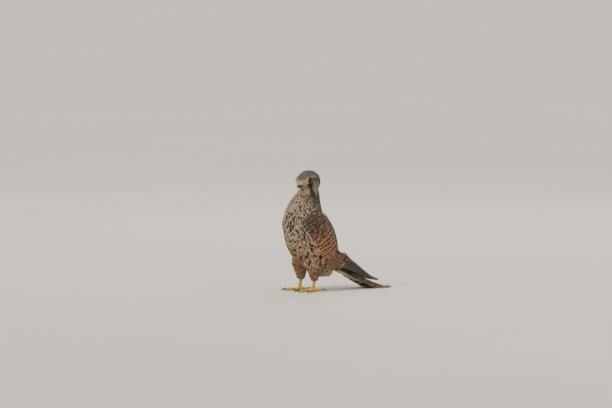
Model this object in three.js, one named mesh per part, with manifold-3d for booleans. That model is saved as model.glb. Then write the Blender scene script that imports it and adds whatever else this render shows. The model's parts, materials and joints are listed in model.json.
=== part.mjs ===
// Common kestrel in female plumage, life size, standing on level ground with its head turned to its left.
// Units are millimetres. +Z is up, the bird faces -Y, and its own left side is +X.
// Every sub-part is one closed solid. Solids that touch keep a small gap. The feathers of one wing, and those
// of the tail, are fused.
import * as THREE from "three";
import { mergeVertices } from "three/addons/utils/BufferGeometryUtils.js";
import Module from "manifold-3d";

const wasm = await Module();
wasm.setup();

// Driving sizes
const GAP = 0.32;
const VANE = 0.6; // thickness of a feather
const LAYER = 0.96; // rise from one feather to the next that lies on it
const STANCE = 21; // half the distance between the feet
const FOOT_Y = -1;
const CUT_NECK_Z = 151;
const HEAD_AT = new THREE.Vector3(0, 1.5, 190.5);
const HEAD_TURN = 20;
const EYE_R = 6;
const TAIL_VANE_HALF = 9.2;
const TAIL_BOW = 0.012; // how the tail rounds down to each side, per millimetre squared
const TAIL = { y: 36, z: 68, length: 153, slopeRoot: 40, slopeTip: 14.5 };
const WING_ARM_END = 0.52; // share of the folded wing's length that the fleshy arm and its coverts take

// The trunk from the neck to the vent: centre of each ring, its lean from level, and its reach to the
// breast, to the back and to each side.
const TRUNK = [
  { y: 2, z: 178, tilt: 0, front: 13, back: 19, half: 15 },
  { y: 0, z: 167, tilt: 2, front: 21, back: 22.5, half: 20 },
  { y: -4, z: 153, tilt: 5, front: 30, back: 26.5, half: 26 },
  { y: -6, z: 139, tilt: 9, front: 35.5, back: 30, half: 32.5 },
  { y: -5, z: 124, tilt: 14, front: 39.5, back: 32, half: 37 },
  { y: 0, z: 108, tilt: 19, front: 42.5, back: 33.5, half: 38.5 },
  { y: 7, z: 91, tilt: 24, front: 45, back: 35.5, half: 37.5 },
  { y: 15, z: 74, tilt: 29, front: 41, back: 34, half: 34.5 },
  { y: 24, z: 58, tilt: 34, front: 33.5, back: 29, half: 29 },
  { y: 34, z: 44, tilt: 40, front: 25, back: 22, half: 21.5 },
  { y: 43, z: 34, tilt: 46, front: 15, back: 14, half: 13 },
  { y: 48, z: 28.5, tilt: 50, front: 4, back: 4, half: 4 },
];

// The head in its own frame, from the bill back to the nape.
const HEAD = [
  { y: -21.2, z: -5.6, up: 4.6, down: 4.4, half: 4.6 },
  { y: -19.6, z: -4.6, up: 7.4, down: 6.6, half: 7.4 },
  { y: -16.5, z: -3.2, up: 11.2, down: 9.6, half: 11 },
  { y: -12, z: -1.6, up: 14.8, down: 13, half: 14.6 },
  { y: -6, z: -0.4, up: 17.4, down: 16.2, half: 17.6 },
  { y: 1, z: 0, up: 18.6, down: 18, half: 19.4 },
  { y: 8, z: -0.2, up: 18.2, down: 18.4, half: 19.2 },
  { y: 14, z: -1.2, up: 16.2, down: 17, half: 17 },
  { y: 19, z: -3, up: 12, down: 13.5, half: 12.4 },
  { y: 22, z: -5, up: 5, down: 7, half: 5.5 },
];

// The feathered shank of the left leg, from inside the belly down to the bare leg.
const THIGH = [
  { x: 17, y: 10, z: 74, wide: 12, deep: 19 },
  { x: 19.2, y: 4, z: 60, wide: 12.2, deep: 20.2 },
  { x: 20.7, y: 1.5, z: 48, wide: 11.2, deep: 17.3 },
  { x: 21.5, y: 1, z: 37, wide: 9.4, deep: 13.2 },
  { x: 21.2, y: 1.2, z: 27, wide: 6.6, deep: 8.8 },
  { x: 21, y: 1.6, z: 19, wide: 4.3, deep: 5.4 },
];

// Lower and upper edge of the left folded wing, from the wrist to the tip.
const WING_LOW = [
  [33, -37, 122], [40.5, -23, 100], [44, -6, 78], [42.5, 12, 58], [38.5, 33, 45],
  [32, 60, 37], [25.5, 90, 30], [18, 120, 21.5], [9.5, 147, 14.8],
];
const WING_HIGH = [
  [29, -17, 137], [22.5, 14, 131], [15, 35, 116], [9.5, 49, 97], [7, 61, 78],
  [6, 78, 61], [6, 98, 46.5], [6, 122, 31], [7.5, 148, 16.8],
];

const FACE = { eye: [10.9, -10.6, 0.3], aim: [0.8, -0.6, 0.04], cereY: -24.2, mouthZ: -9.4 };
const LID = { ring: 5.35, thick: 0.95, proud: 3.2 };
const BROW = { at: [11.4, -10, 5.9], radii: [3.2, 7.4, 2.2] };
const NOSTRIL = { at: [4.6, -22.2, -1.9], radii: [1.5, 1, 1] };
const MOUTH = { y: -14, radii: [13.4, 9.5, 0.34] };
const COVERT_HALF = 6.6;

const rad = THREE.MathUtils.degToRad;
const mix = THREE.MathUtils.lerp;
const ease = THREE.MathUtils.smoothstep;
const vec = (x, y, z) => new THREE.Vector3(x, y, z);

// A repeatable draw between -1 and 1 for the small differences between like feathers.
let drawState = 41;
function draw() {
  drawState = (drawState * 1103515245 + 12345) % 2147483648;
  return (drawState / 1073741824) - 1;
}

// A smooth value through a table of rows; at is in rows from the first.
function rowAt(rows, at) {
  const i = Math.max(0, Math.min(Math.floor(at), rows.length - 2));
  const f = at - i;
  const near = [i - 1, i, i + 1, i + 2].map((k) => rows[Math.max(0, Math.min(rows.length - 1, k))]);
  const out = Array.isArray(rows[0]) ? [] : {};
  for (const key of Object.keys(rows[0])) {
    const [a, b, c, d] = near.map((row) => row[key]);
    const bend = 2 * a - 5 * b + 4 * c - d;
    out[key] = b + 0.5 * f * (c - a + f * (bend + f * (3 * (b - c) + d - a)));
  }
  return out;
}

// Solids
function geometryOf(points, faces) {
  const geometry = new THREE.BufferGeometry().setFromPoints(points);
  geometry.setIndex(faces.flat());
  return geometry;
}

function solidOf(geometry) {
  const bare = geometry.clone();
  bare.deleteAttribute("normal");
  bare.deleteAttribute("uv");
  const merged = mergeVertices(bare, 1e-4);
  const vertProperties = new Float32Array(merged.attributes.position.array);
  const triVerts = new Uint32Array(merged.index.array);
  const made = new wasm.Manifold(new wasm.Mesh({ numProp: 3, vertProperties, triVerts }));
  if (made.volume() > 0) return made;
  for (let i = 0; i < triVerts.length; i += 3) {
    [triVerts[i + 1], triVerts[i + 2]] = [triVerts[i + 2], triVerts[i + 1]];
  }
  return new wasm.Manifold(new wasm.Mesh({ numProp: 3, vertProperties, triVerts }));
}

// One closed body through rings of equal count, with a fan over each end.
function tube(rings) {
  const points = rings.flat();
  const sides = rings[0].length;
  const faces = [];
  for (let i = 0; i + 1 < rings.length; i++) {
    for (let j = 0; j < sides; j++) {
      const [a, b] = [i * sides + j, i * sides + ((j + 1) % sides)];
      faces.push([a, b, b + sides], [a, b + sides, a + sides]);
    }
  }
  const last = (rings.length - 1) * sides;
  for (const [ring, first, flip] of [[rings[0], 0, true], [rings.at(-1), last, false]]) {
    const middle = ring.reduce((sum, p) => sum.add(p), vec(0, 0, 0)).divideScalar(sides);
    const hub = points.push(middle) - 1;
    for (let j = 0; j < sides; j++) {
      const [a, b] = [first + j, first + ((j + 1) % sides)];
      faces.push(flip ? [hub, b, a] : [hub, a, b]);
    }
  }
  return solidOf(geometryOf(points, faces));
}

// One closed plate between two grids of points, both split into triangles alike.
function plate(top, bottom) {
  const [rows, columns] = [top.length, top[0].length];
  const points = [...top.flat(), ...bottom.flat()];
  const under = rows * columns;
  const at = (i, j) => i * columns + j;
  const faces = [];
  for (let i = 0; i + 1 < rows; i++) {
    for (let j = 0; j + 1 < columns; j++) {
      const [a, b, c, d] = [at(i, j), at(i + 1, j), at(i + 1, j + 1), at(i, j + 1)];
      faces.push([a, b, c], [a, c, d]);
      faces.push([under + a, under + c, under + b], [under + a, under + d, under + c]);
    }
  }
  const rim = [];
  for (let i = 0; i < rows - 1; i++) rim.push(at(i, 0));
  for (let j = 0; j < columns - 1; j++) rim.push(at(rows - 1, j));
  for (let i = rows - 1; i > 0; i--) rim.push(at(i, columns - 1));
  for (let j = columns - 1; j > 0; j--) rim.push(at(0, j));
  rim.forEach((a, k) => {
    const b = rim[(k + 1) % rim.length];
    faces.push([a, under + a, under + b], [a, under + b, b]);
  });
  return solidOf(geometryOf(points, faces));
}

function ball(centre, radii, place = (p) => p, detail = [20, 12]) {
  const geometry = new THREE.SphereGeometry(1, ...detail);
  const position = geometry.attributes.position;
  for (let i = 0; i < position.count; i++) {
    const p = vec().fromBufferAttribute(position, i).multiply(radii).add(centre);
    position.setXYZ(i, ...place(p).toArray());
  }
  return solidOf(geometry);
}

function box(low, high) {
  const [a, b] = [vec(...low), vec(...high)];
  const size = b.clone().sub(a);
  const geometry = new THREE.BoxGeometry(...size.toArray());
  const middle = a.add(b).multiplyScalar(0.5);
  return solidOf(geometry.translate(...middle.toArray()));
}

const fuse = (solids) => solids.reduce((sum, one) => sum.add(one));

// The largest closed surface of a solid, with sealed hollows filled and loose scraps dropped.
function largest(solid) {
  return solid.decompose().sort((a, b) => b.volume() - a.volume())[0];
}

const FAR = 600;
const BELOW_FLOOR = box([-FAR, -FAR, -FAR], [FAR, FAR, 0]);
const RIGHT_HALF = box([-FAR, -FAR, -FAR], [GAP / 2, FAR, FAR]);

// Trunk
function trunkPoint(at, angle, grow = 0) {
  const row = rowAt(TRUNK, at);
  const rise = Math.sin(angle);
  const reach = ((rise > 0 ? row.back : row.front) + grow) * rise;
  const lean = rad(row.tilt);
  const across = (row.half + grow) * Math.cos(angle);
  return vec(across, row.y + reach * Math.cos(lean), row.z + reach * Math.sin(lean));
}

function trunkSolid(grow = 0, steps = 20, sides = 20) {
  const rings = [];
  for (let i = 0; i <= steps; i++) {
    const at = ((TRUNK.length - 1) * i) / steps;
    rings.push(Array.from({ length: sides }, (_, j) => trunkPoint(at, (2 * Math.PI * j) / sides, grow)));
  }
  return tube(rings);
}

// The point of the trunk's surface that lies nearest outward of p, raised by lift.
function onTrunk(p, lift) {
  let best = null;
  let before = null;
  for (let at = 0; at <= TRUNK.length - 1; at += 0.1) {
    const row = rowAt(TRUNK, at);
    const lean = rad(row.tilt);
    const [dy, dz] = [p.y - row.y, p.z - row.z];
    const along = dy * Math.sin(lean) - dz * Math.cos(lean);
    const back = dy * Math.cos(lean) + dz * Math.sin(lean);
    const away = Math.hypot(p.x, back);
    const crossed = before !== null && before > 0 && along <= 0;
    if (crossed && (!best || away < best.away)) best = { row, lean, back, away };
    before = along;
  }
  if (!best) return p.clone();
  const { row, lean, back } = best;
  const depth = back > 0 ? row.back : row.front;
  const scale = 1 / Math.hypot(p.x / row.half, back / depth);
  const [x, n] = [p.x * scale, back * scale];
  const out = new THREE.Vector2(x / row.half ** 2, n / depth ** 2).normalize().multiplyScalar(lift);
  return vec(x + out.x, row.y + (n + out.y) * Math.cos(lean), row.z + (n + out.y) * Math.sin(lean));
}

// Head
const placeHead = (p) => p.clone().applyAxisAngle(vec(0, 0, 1), rad(HEAD_TURN)).add(HEAD_AT);

function headSolid(grow = 0, steps = 13, sides = 16) {
  const rings = [];
  for (let i = 0; i <= steps; i++) {
    const row = rowAt(HEAD, ((HEAD.length - 1) * i) / steps);
    const ends = grow * mix(-1, 1, i / steps);
    rings.push(Array.from({ length: sides }, (_, j) => {
      const angle = (2 * Math.PI * j) / sides;
      const rise = Math.sin(angle);
      const reach = (rise > 0 ? row.up : row.down) + grow;
      const flat = rise > 0.8 ? 1 - 0.25 * (rise - 0.8) : 1;
      const across = (row.half + grow) * Math.cos(angle);
      return placeHead(vec(across, row.y + ends, row.z + reach * rise * flat));
    }));
  }
  return tube(rings);
}

const eyeAim = (side) => vec(side * FACE.aim[0], FACE.aim[1], FACE.aim[2]).normalize();
const eyeAt = (side) => vec(side * FACE.eye[0], FACE.eye[1], FACE.eye[2]);

function eyeSolid(side, grow = 0) {
  const r = EYE_R + grow;
  return ball(eyeAt(side), vec(r, r, r), placeHead, [12, 8]);
}

// A ring of skin that rims the eye.
function lidSolid(side) {
  const geometry = new THREE.TorusGeometry(LID.ring, LID.thick, 5, 13);
  const aim = eyeAim(side);
  geometry.applyQuaternion(new THREE.Quaternion().setFromUnitVectors(vec(0, 0, 1), aim));
  const at = eyeAt(side).addScaledVector(aim, LID.proud);
  const position = geometry.attributes.position;
  for (let i = 0; i < position.count; i++) {
    position.setXYZ(i, ...placeHead(vec().fromBufferAttribute(position, i).add(at)).toArray());
  }
  return solidOf(geometry);
}

// The ridge that overhangs the eye.
const browSolid = (side) =>
  ball(vec(...BROW.at).multiply(vec(side, 1, 1)), vec(...BROW.radii), placeHead, [8, 5]);

// The upper bill as a stack of sections that turn down along its arc.
function upperBill(grow = 0, steps = 9, sides = 12) {
  const rings = [];
  for (let i = 0; i <= steps; i++) {
    const u = i / steps;
    const turn = rad(mix(8, 104, u ** 1.25));
    const middle = vec(0, -17.5 - 11.4 * Math.sin(u * 1.52), -4.9 - 7.6 * u ** 2.3);
    const tall = mix(6.2, 0.75, u ** 1.15) + grow;
    const half = mix(5.7, 0.62, u ** 0.85) + grow;
    const forward = grow * (i === steps ? 1 : 0);
    rings.push(Array.from({ length: sides }, (_, j) => {
      const angle = (2 * Math.PI * j) / sides;
      const [across, up] = [Math.cos(angle) * half, Math.sin(angle)];
      const rise = up > 0 ? up * tall : up * tall * 0.62;
      const y = middle.y - forward - rise * Math.sin(turn);
      return placeHead(vec(across, y, middle.z + rise * Math.cos(turn)));
    }));
  }
  return tube(rings);
}

function lowerBill(grow = 0, steps = 5, sides = 10) {
  const rings = [];
  for (let i = 0; i <= steps; i++) {
    const u = i / steps;
    const half = mix(5.1, 1.5, u ** 1.4) + grow;
    const deep = mix(3.1, 1.1, u) + grow;
    rings.push(Array.from({ length: sides }, (_, j) => {
      const angle = (2 * Math.PI * j) / sides;
      const z = mix(-11.4, -10.8, u) + Math.sin(angle) * deep;
      return placeHead(vec(Math.cos(angle) * half, mix(-16, -26.4, u), z));
    }));
  }
  return tube(rings);
}

function headParts() {
  const beyondCere = (from, to) => {
    const corners = box([-20, from, -40], [20, to, 40]);
    return corners.rotate([0, 0, HEAD_TURN]).translate(HEAD_AT.toArray());
  };
  const mouthLine = ball(vec(0, MOUTH.y, FACE.mouthZ), vec(...MOUTH.radii), placeHead, [14, 4]);
  const bill = upperBill();
  const billRoom = upperBill(GAP);
  const nostrils = [-1, 1].map((side) =>
    ball(vec(...NOSTRIL.at).multiply(vec(side, 1, 1)), vec(...NOSTRIL.radii), placeHead, [10, 8]),
  );
  let skull = fuse([headSolid(), ...[-1, 1].map(browSolid), ...[-1, 1].map(lidSolid)]);
  skull = skull.subtract(billRoom).subtract(fuse([-1, 1].map((side) => eyeSolid(side, GAP))));
  skull = skull.subtract(mouthLine).subtract(lowerBill(GAP));
  const tip = bill.subtract(beyondCere(FACE.cereY, 60)).subtract(headSolid(GAP));
  const wax = bill.subtract(beyondCere(-60, FACE.cereY + GAP)).subtract(headSolid(-6));
  return {
    head: skull,
    cere: wax.subtract(fuse(nostrils)),
    bill_upper: tip,
    bill_lower: lowerBill().subtract(billRoom).subtract(headSolid(-7)),
    eye_left: eyeSolid(1),
    eye_right: eyeSolid(-1),
  };
}

// Wing
const wingTable = (rows, s) => vec(...rowAt(rows, s * (rows.length - 1)));

// The outer face of the left folded wing: s runs from wrist to tip, t from its lower to its upper edge.
function wingFace(s, t) {
  const [low, high] = [wingTable(WING_LOW, s), wingTable(WING_HIGH, s)];
  const chord = low.clone().lerp(high, t);
  const swell = 4 * t * (1 - t);
  const lift = mix(1.6, 3.6, t) + 3.2 * swell * ease(s, 0, 0.15);
  const free = chord.clone().addScaledVector(vec(0.62, 0.12, 0.77), mix(5, 1, ease(s, 0.6, 1)) * swell);
  const away = ease(s, 0.4, 0.64);
  return away >= 1 ? free : onTrunk(chord, lift).lerp(free, away);
}

// Position, run, span and outward direction of the wing's face.
function wingFrame(s, t) {
  const step = 0.004;
  const at = wingFace(s, t);
  const [onS, onT] = [Math.min(s + step, 1), Math.min(t + step, 1)];
  const run = wingFace(onS, t).sub(wingFace(onS - 2 * step, t)).normalize();
  const span = wingFace(s, onT).sub(wingFace(s, onT - 2 * step)).normalize();
  const out = vec().crossVectors(span, run).normalize();
  if (out.x + out.z < 0) out.negate();
  return { at, run, span, out };
}

// A covert's outline: its width at shares of its length.
const COVERT = { widths: [0.5, 1, 0.9, 0.3], stations: [0, 0.3, 0.85, 1] };
const QUILL = { widths: [0.5, 1, 0.92, 0.62, 0.12], stations: [0, 0.2, 0.76, 0.93, 1] };

// A feather over the wing's face from its [s, t] root to its [s, t] tip. It dives steeply into the arm at
// its root. high is its height over the face along it. roof tips it about its shaft, so that each lies on
// the one below it.
function wingVane({ root, tip, half, high, roof = 0.17, shape = COVERT }) {
  const { widths, stations } = shape;
  const top = [];
  const bottom = [];
  stations.forEach((u, k) => {
    const frame = wingFrame(mix(root[0], tip[0], u), mix(root[1], tip[1], u));
    const rise = k === 0 ? high[0] : mix(high[1], high[2], (u - stations[1]) / (1 - stations[1]));
    const reach = half * widths[k];
    const slope = k === 0 ? 0 : roof;
    const edges = (drop) => [-reach, reach].map((across) => {
      const lifted = rise - slope * across - drop;
      return frame.at.clone().addScaledVector(frame.span, across).addScaledVector(frame.out, lifted);
    });
    top.push(edges(0));
    bottom.push(edges(VANE));
  });
  return plate(top, bottom);
}

// Each row of like feathers. A pair gives how a value runs from the row's first feather, the lowest, to its
// last, and stack is how much higher each lies than the one before.
const WING_ROWS = {
  primaries: {
    count: 6, rootS: [0.48, 0.44], tipS: [0.995, 0.78], rootT: [0.14, 0.62], tipT: [0.4, 0.8],
    half: [5.4, 6.6], high: [-6.6, -7, -6.6], roof: 0.03, stack: LAYER, shape: QUILL,
  },
  secondaries: {
    count: 6, rootS: [0.38, 0.36], tipS: [0.6, 0.7], rootT: [0.12, 0.86], tipT: [0.14, 0.9],
    half: [6.6, 7.6], high: [-3, 0.5, 0.7], shape: QUILL,
  },
  greater: {
    count: 6, rootS: [0.27, 0.24], tipS: [0.44, 0.5], rootT: [0.12, 0.86], tipT: [0.14, 0.9],
    half: [6, 7], high: [-3, 1.5, 2.1],
  },
  median: {
    count: 6, rootS: [0.17, 0.14], tipS: [0.32, 0.35], rootT: [0.12, 0.86], tipT: [0.14, 0.88],
    half: [5.8, 6.8], high: [-3, 1.5, 2.7],
  },
  lesser: {
    count: 6, rootS: [0.06, 0.04], tipS: [0.21, 0.23], rootT: [0.12, 0.86], tipT: [0.12, 0.88],
    half: [5.2, 6.4], high: [-3, 1.9, 2.8],
  },
  scapulars: {
    count: 3, rootS: [0.06, 0.3], tipS: [0.26, 0.5], rootT: [0.97, 0.98], tipT: [0.97, 0.98],
    half: [6.6, 6], high: [-3, 3.4, 4],
  },
};

function vaneRow({ count, rootS, tipS, rootT, tipT, half, high, stack = 0, ...rest }) {
  return Array.from({ length: count }, (_, i) => {
    const run = (pair) => mix(pair[0], pair[1], i / (count - 1));
    const root = [run(rootS), run(rootT)];
    const tip = [run(tipS) + 0.004 * draw(), run(tipT)];
    return wingVane({ root, tip, half: run(half), high: high.map((h) => h + i * stack), ...rest });
  });
}

function wingSolid() {
  const top = [];
  const bottom = [];
  const [rows, columns] = [6, 4];
  for (let i = 0; i <= rows; i++) {
    const s = (WING_ARM_END * i) / rows;
    const deep = mix(9, 5.2, ease(s, 0.3, 0.6));
    const across = Array.from({ length: columns + 1 }, (_, j) => wingFrame(s, j / columns));
    const sunk = (depth) => across.map(({ at, out }, j) => {
      const share = j === 0 ? 0.4 : 1;
      return at.clone().addScaledVector(out, -depth * share);
    });
    top.push(sunk(mix(0.5, 1.8, ease(s, 0.3, 0.6))));
    bottom.push(sunk(deep));
  }
  return fuse([plate(top, bottom), ...Object.values(WING_ROWS).flatMap(vaneRow)]);
}

// Tail
function tailFrame(along) {
  const slope = (a) => rad(mix(TAIL.slopeRoot, TAIL.slopeTip, a / TAIL.length));
  const steps = 24;
  let [y, z] = [TAIL.y, TAIL.z];
  for (let i = 0; i < steps; i++) {
    const here = slope((along * (i + 0.5)) / steps);
    y += (Math.cos(here) * along) / steps;
    z -= (Math.sin(here) * along) / steps;
  }
  return { y, z, slope: slope(along) };
}

function tailPoint(along, x, high) {
  const { y, z, slope } = tailFrame(along);
  return vec(x, y + high * Math.sin(slope), z + high * Math.cos(slope));
}

// One tail feather. rank 0 is the middle pair, which lies on top, and 5 the outermost.
function tailVane(side, rank) {
  const length = TAIL.length - [0, 1, 3, 6, 10, 16][rank];
  const centre = rank === 0 ? 2.5 : 4 + 2.1 * rank;
  const level = rank === 0 ? (side > 0 ? 0 : -LAYER) : -LAYER * (rank + 1);
  const stations = [0, 0.4, 0.8, 0.94, 1];
  const widths = [0.5, 0.85, 1, 0.8, 0.25];
  const top = [];
  const bottom = [];
  stations.forEach((u, k) => {
    const middle = centre * mix(0.35, 1, u);
    const reach = TAIL_VANE_HALF * widths[k];
    const inner = rank === 0 ? -reach : Math.max(-reach, GAP - middle);
    const edges = (drop) => [inner, reach].map((across) => {
      const x = middle + across;
      return tailPoint(mix(34, length, u), side * x, level - TAIL_BOW * x * x - drop);
    });
    top.push(edges(0));
    bottom.push(edges(VANE));
  });
  return plate(top, bottom);
}

// A covert over or under the root of the tail. Each lies clear of the one beside it.
function tailCovert(side, rank, above) {
  const [from, to] = above ? [26, 66 - 8 * rank] : [24, 92 - 12 * rank];
  const place = 2 * rank + (side > 0 ? 0 : 1);
  const level = above ? 4.4 - LAYER * place : -12.2 + LAYER * place;
  const stations = [0, 0.45, 0.84, 1];
  const widths = [0.6, 1, 0.85, 0.3];
  const top = [];
  const bottom = [];
  stations.forEach((u, k) => {
    const reach = COVERT_HALF * widths[k];
    const edges = (drop) => [-reach, reach].map((across) => {
      const x = 3 + 5 * rank + across;
      return tailPoint(mix(from, to, u), side * x, level - TAIL_BOW * x * x - drop);
    });
    top.push(edges(0));
    bottom.push(edges(VANE));
  });
  return plate(top, bottom);
}

// The fleshy root of the tail, as rings set back along it.
const TAIL_ROOT = [
  { along: -6, half: 17, up: 8, down: 20 },
  { along: 12, half: 16.5, up: 7.5, down: 18.5 },
  { along: 28, half: 14, up: 6.4, down: 16.4 },
  { along: 38, half: 11.5, up: 5, down: 13.4 },
  { along: 46, half: 7, up: 1.6, down: 8.4 },
];

function tailRoot(sides = 14) {
  return tube(TAIL_ROOT.map(({ along, half, up, down }) => Array.from({ length: sides }, (_, j) => {
    const angle = (2 * Math.PI * j) / sides;
    const rise = Math.sin(angle);
    return tailPoint(along, half * Math.cos(angle), (rise > 0 ? up : down) * rise);
  })));
}

function tailSolid() {
  const quills = [0, 1, 2, 3, 4, 5].flatMap((rank) => [1, -1].map((side) => tailVane(side, rank)));
  const coverts = [0, 1].flatMap((rank) =>
    [1, -1].flatMap((side) => [tailCovert(side, rank, true), tailCovert(side, rank, false)]),
  );
  return fuse([tailRoot(), ...quills, ...coverts]);
}

// The room that the tail takes, which the wings stay out of.
function tailRoom(sides = 14, steps = 6) {
  return tube(Array.from({ length: steps + 1 }, (_, i) => {
    const u = i / steps;
    return Array.from({ length: sides }, (_, j) => {
      const angle = (2 * Math.PI * j) / sides;
      const rise = Math.sin(angle);
      const reach = rise > 0 ? mix(9, 1.4, Math.min(1, u * 2.4)) : mix(24, 12, u);
      return tailPoint(mix(-6, TAIL.length + 10, u), mix(18, 25, u) * Math.cos(angle), reach * rise);
    });
  }));
}

// Legs
function thighSolid(side, grow = 0, steps = 9, sides = 14) {
  const rings = [];
  for (let i = 0; i <= steps; i++) {
    const row = rowAt(THIGH, ((THIGH.length - 1) * i) / steps);
    rings.push(Array.from({ length: sides }, (_, j) => {
      const angle = (2 * Math.PI * j) / sides;
      const [wide, deep] = [(row.wide + grow) * Math.cos(angle), (row.deep + grow) * Math.sin(angle)];
      return vec(side * (row.x + wide), row.y + deep, row.z);
    }));
  }
  return tube(rings);
}

const LEG = { topZ: 19, lowZ: 9.8, topR: 2.5, lowR: 2.9 };

function tarsusSolid(side, sides = 12) {
  const rings = [];
  const top = LEG.topZ - GAP;
  for (let i = 0; i <= 5; i++) {
    const u = i / 5;
    const r = mix(LEG.topR, LEG.lowR, u) + 0.25 * Math.cos(u * Math.PI * 4);
    rings.push(Array.from({ length: sides }, (_, j) => {
      const angle = (2 * Math.PI * j) / sides;
      const y = mix(1.4, FOOT_Y, u) + 1.15 * r * Math.sin(angle);
      return vec(side * (STANCE + 0.92 * r * Math.cos(angle)), y, mix(top, LEG.lowZ, u));
    }));
  }
  return tube(rings);
}

const TOES = [
  { name: "hind", turn: 176, length: 12.5, joints: 1, claw: 10.5 },
  { name: "inner", turn: -34, length: 18, joints: 2, claw: 10 },
  { name: "middle", turn: 3, length: 26, joints: 3, claw: 9.5 },
  { name: "outer", turn: 38, length: 19, joints: 3, claw: 8.5 },
];
const HUB_R = 5;
const HUB_Z = 3.4;

// Turns a point of a toe that points along -Y into its place on the foot.
function placeToe(side, toe) {
  const hub = vec(STANCE, FOOT_Y, 0);
  return (p) => p.clone().applyAxisAngle(vec(0, 0, 1), rad(toe.turn)).add(hub).multiply(vec(side, 1, 1));
}

function toeSolid(side, toe, grow = 0, sides = 8) {
  const rings = [];
  const steps = toe.joints * 2 + 1;
  const place = placeToe(side, toe);
  for (let i = 0; i <= steps; i++) {
    const u = i / steps;
    const pad = 0.42 * Math.cos(u * (toe.joints + 0.5) * 2 * Math.PI);
    const r = mix(2.5, 1.75, u) - pad + grow;
    const arch = 0.5 * Math.sin(Math.PI * u);
    rings.push(Array.from({ length: sides }, (_, j) => {
      const angle = (2 * Math.PI * (j + 0.5)) / sides;
      const z = mix(2.75, 1.85, u) + arch + r * Math.sin(angle) * 1.1;
      return place(vec(r * Math.cos(angle), -mix(1.5, HUB_R + toe.length, u), Math.max(z, 0)));
    }));
  }
  return tube(rings);
}

function clawSolid(side, toe, sides = 6) {
  const rings = [];
  const place = placeToe(side, toe);
  const bendR = toe.claw * 0.72;
  for (let i = 0; i <= 5; i++) {
    const u = i / 5;
    const turn = rad(mix(-28, 62, u));
    const start = rad(-28);
    const y = -(HUB_R + toe.length + GAP) - bendR * (Math.sin(turn) - Math.sin(start));
    const z = 2.5 + bendR * (Math.cos(turn) - Math.cos(start));
    const r = mix(1.55, 0.3, u ** 0.9);
    rings.push(Array.from({ length: sides }, (_, j) => {
      const angle = (2 * Math.PI * j) / sides;
      const rise = 1.15 * r * Math.sin(angle);
      const lean = i === 0 ? 0 : turn;
      return place(vec(0.85 * r * Math.cos(angle), y - rise * Math.sin(lean), z + rise * Math.cos(lean)));
    }));
  }
  return tube(rings);
}

function footSolid(side) {
  const at = vec(side * STANCE, FOOT_Y, 0);
  return ball(at.clone().setZ(HUB_Z), vec(HUB_R, HUB_R, 4.6), undefined, [12, 8])
    .add(ball(at.clone().setZ(7), vec(3.5, 3.8, 5), undefined, [10, 6]));
}

// Assembly
const COLOURS = {
  brown: { color: 0x8a6a48, roughness: 0.9 },
  back: { color: 0x9a6136, roughness: 0.85 },
  pale: { color: 0xb39a76, roughness: 0.9 },
  tail: { color: 0x8d7a62, roughness: 0.8 },
  yellow: { color: 0xc9a227, roughness: 0.55 },
  horn: { color: 0x50606e, roughness: 0.35 },
  claw: { color: 0x1b1a1a, roughness: 0.35 },
  eye: { color: 0x140c08, roughness: 0.08 },
};
const bird = new THREE.Group();

function add(name, solid, finish) {
  const { vertProperties, triVerts } = largest(solid).getMesh();
  const geometry = new THREE.BufferGeometry();
  geometry.setAttribute("position", new THREE.BufferAttribute(vertProperties, 3));
  geometry.setIndex(new THREE.BufferAttribute(triVerts, 1));
  const material = new THREE.MeshStandardMaterial({ ...COLOURS[finish], metalness: 0 });
  const mesh = new THREE.Mesh(geometry, material);
  mesh.name = name;
  bird.add(mesh);
}

const trunk = trunkSolid();
const trunkRoom = trunkSolid(GAP);
const headRoom = headSolid(GAP);
const leftWing = largest(wingSolid().subtract(trunkRoom).subtract(tailRoom()).subtract(RIGHT_HALF));
const wings = { left: leftWing, right: leftWing.mirror([1, 0, 0]) };
const neckUp = box([-FAR, -FAR, CUT_NECK_Z + GAP / 2], [FAR, FAR, FAR]);
const bodyDown = box([-FAR, -FAR, -FAR], [FAR, FAR, CUT_NECK_Z - GAP / 2]);

add("torso", trunk.intersect(bodyDown), "pale");
add("neck", trunk.intersect(neckUp).subtract(headRoom).subtract(lowerBill(GAP)), "brown");
const face = headParts();
const faceFinish = {
  head: "brown", cere: "yellow", bill_upper: "horn", bill_lower: "horn", eye_left: "eye", eye_right: "eye",
};
for (const [name, finish] of Object.entries(faceFinish)) add(name, face[name], finish);
add("tail", tailSolid().subtract(trunkRoom).subtract(BELOW_FLOOR), "tail");

for (const [word, side] of [["left", 1], ["right", -1]]) {
  add(`wing_${word}`, wings[word], "back");
  add(`thigh_${word}`, thighSolid(side).subtract(trunkRoom), "pale");
  add(`tarsus_${word}`, tarsusSolid(side), "yellow");
  const hub = footSolid(side);
  const legEnd = box([-FAR, -FAR, LEG.lowZ - GAP], [FAR, FAR, FAR]);
  add(`foot_${word}`, hub.subtract(legEnd).subtract(BELOW_FLOOR), "yellow");
  const wide = HUB_R + GAP;
  const hubRoom = hub.add(ball(vec(side * STANCE, FOOT_Y, HUB_Z), vec(wide, wide, 5), undefined, [12, 8]));
  const middleRoom = toeSolid(side, TOES.find((toe) => toe.name === "middle"), GAP);
  for (const toe of TOES) {
    const clear = toe.name === "middle" ? hubRoom : hubRoom.add(middleRoom);
    add(`toe_${word}_${toe.name}`, toeSolid(side, toe).subtract(clear), "yellow");
    add(`claw_${word}_${toe.name}`, clawSolid(side, toe).subtract(BELOW_FLOOR), "claw");
  }
}

// The origin is the middle of the bird's footprint, on the floor.
const extent = new THREE.Box3().setFromObject(bird);
const middle = extent.getCenter(vec(0, 0, 0));
bird.position.set(-middle.x, -middle.y, 0);

export default bird;
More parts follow.
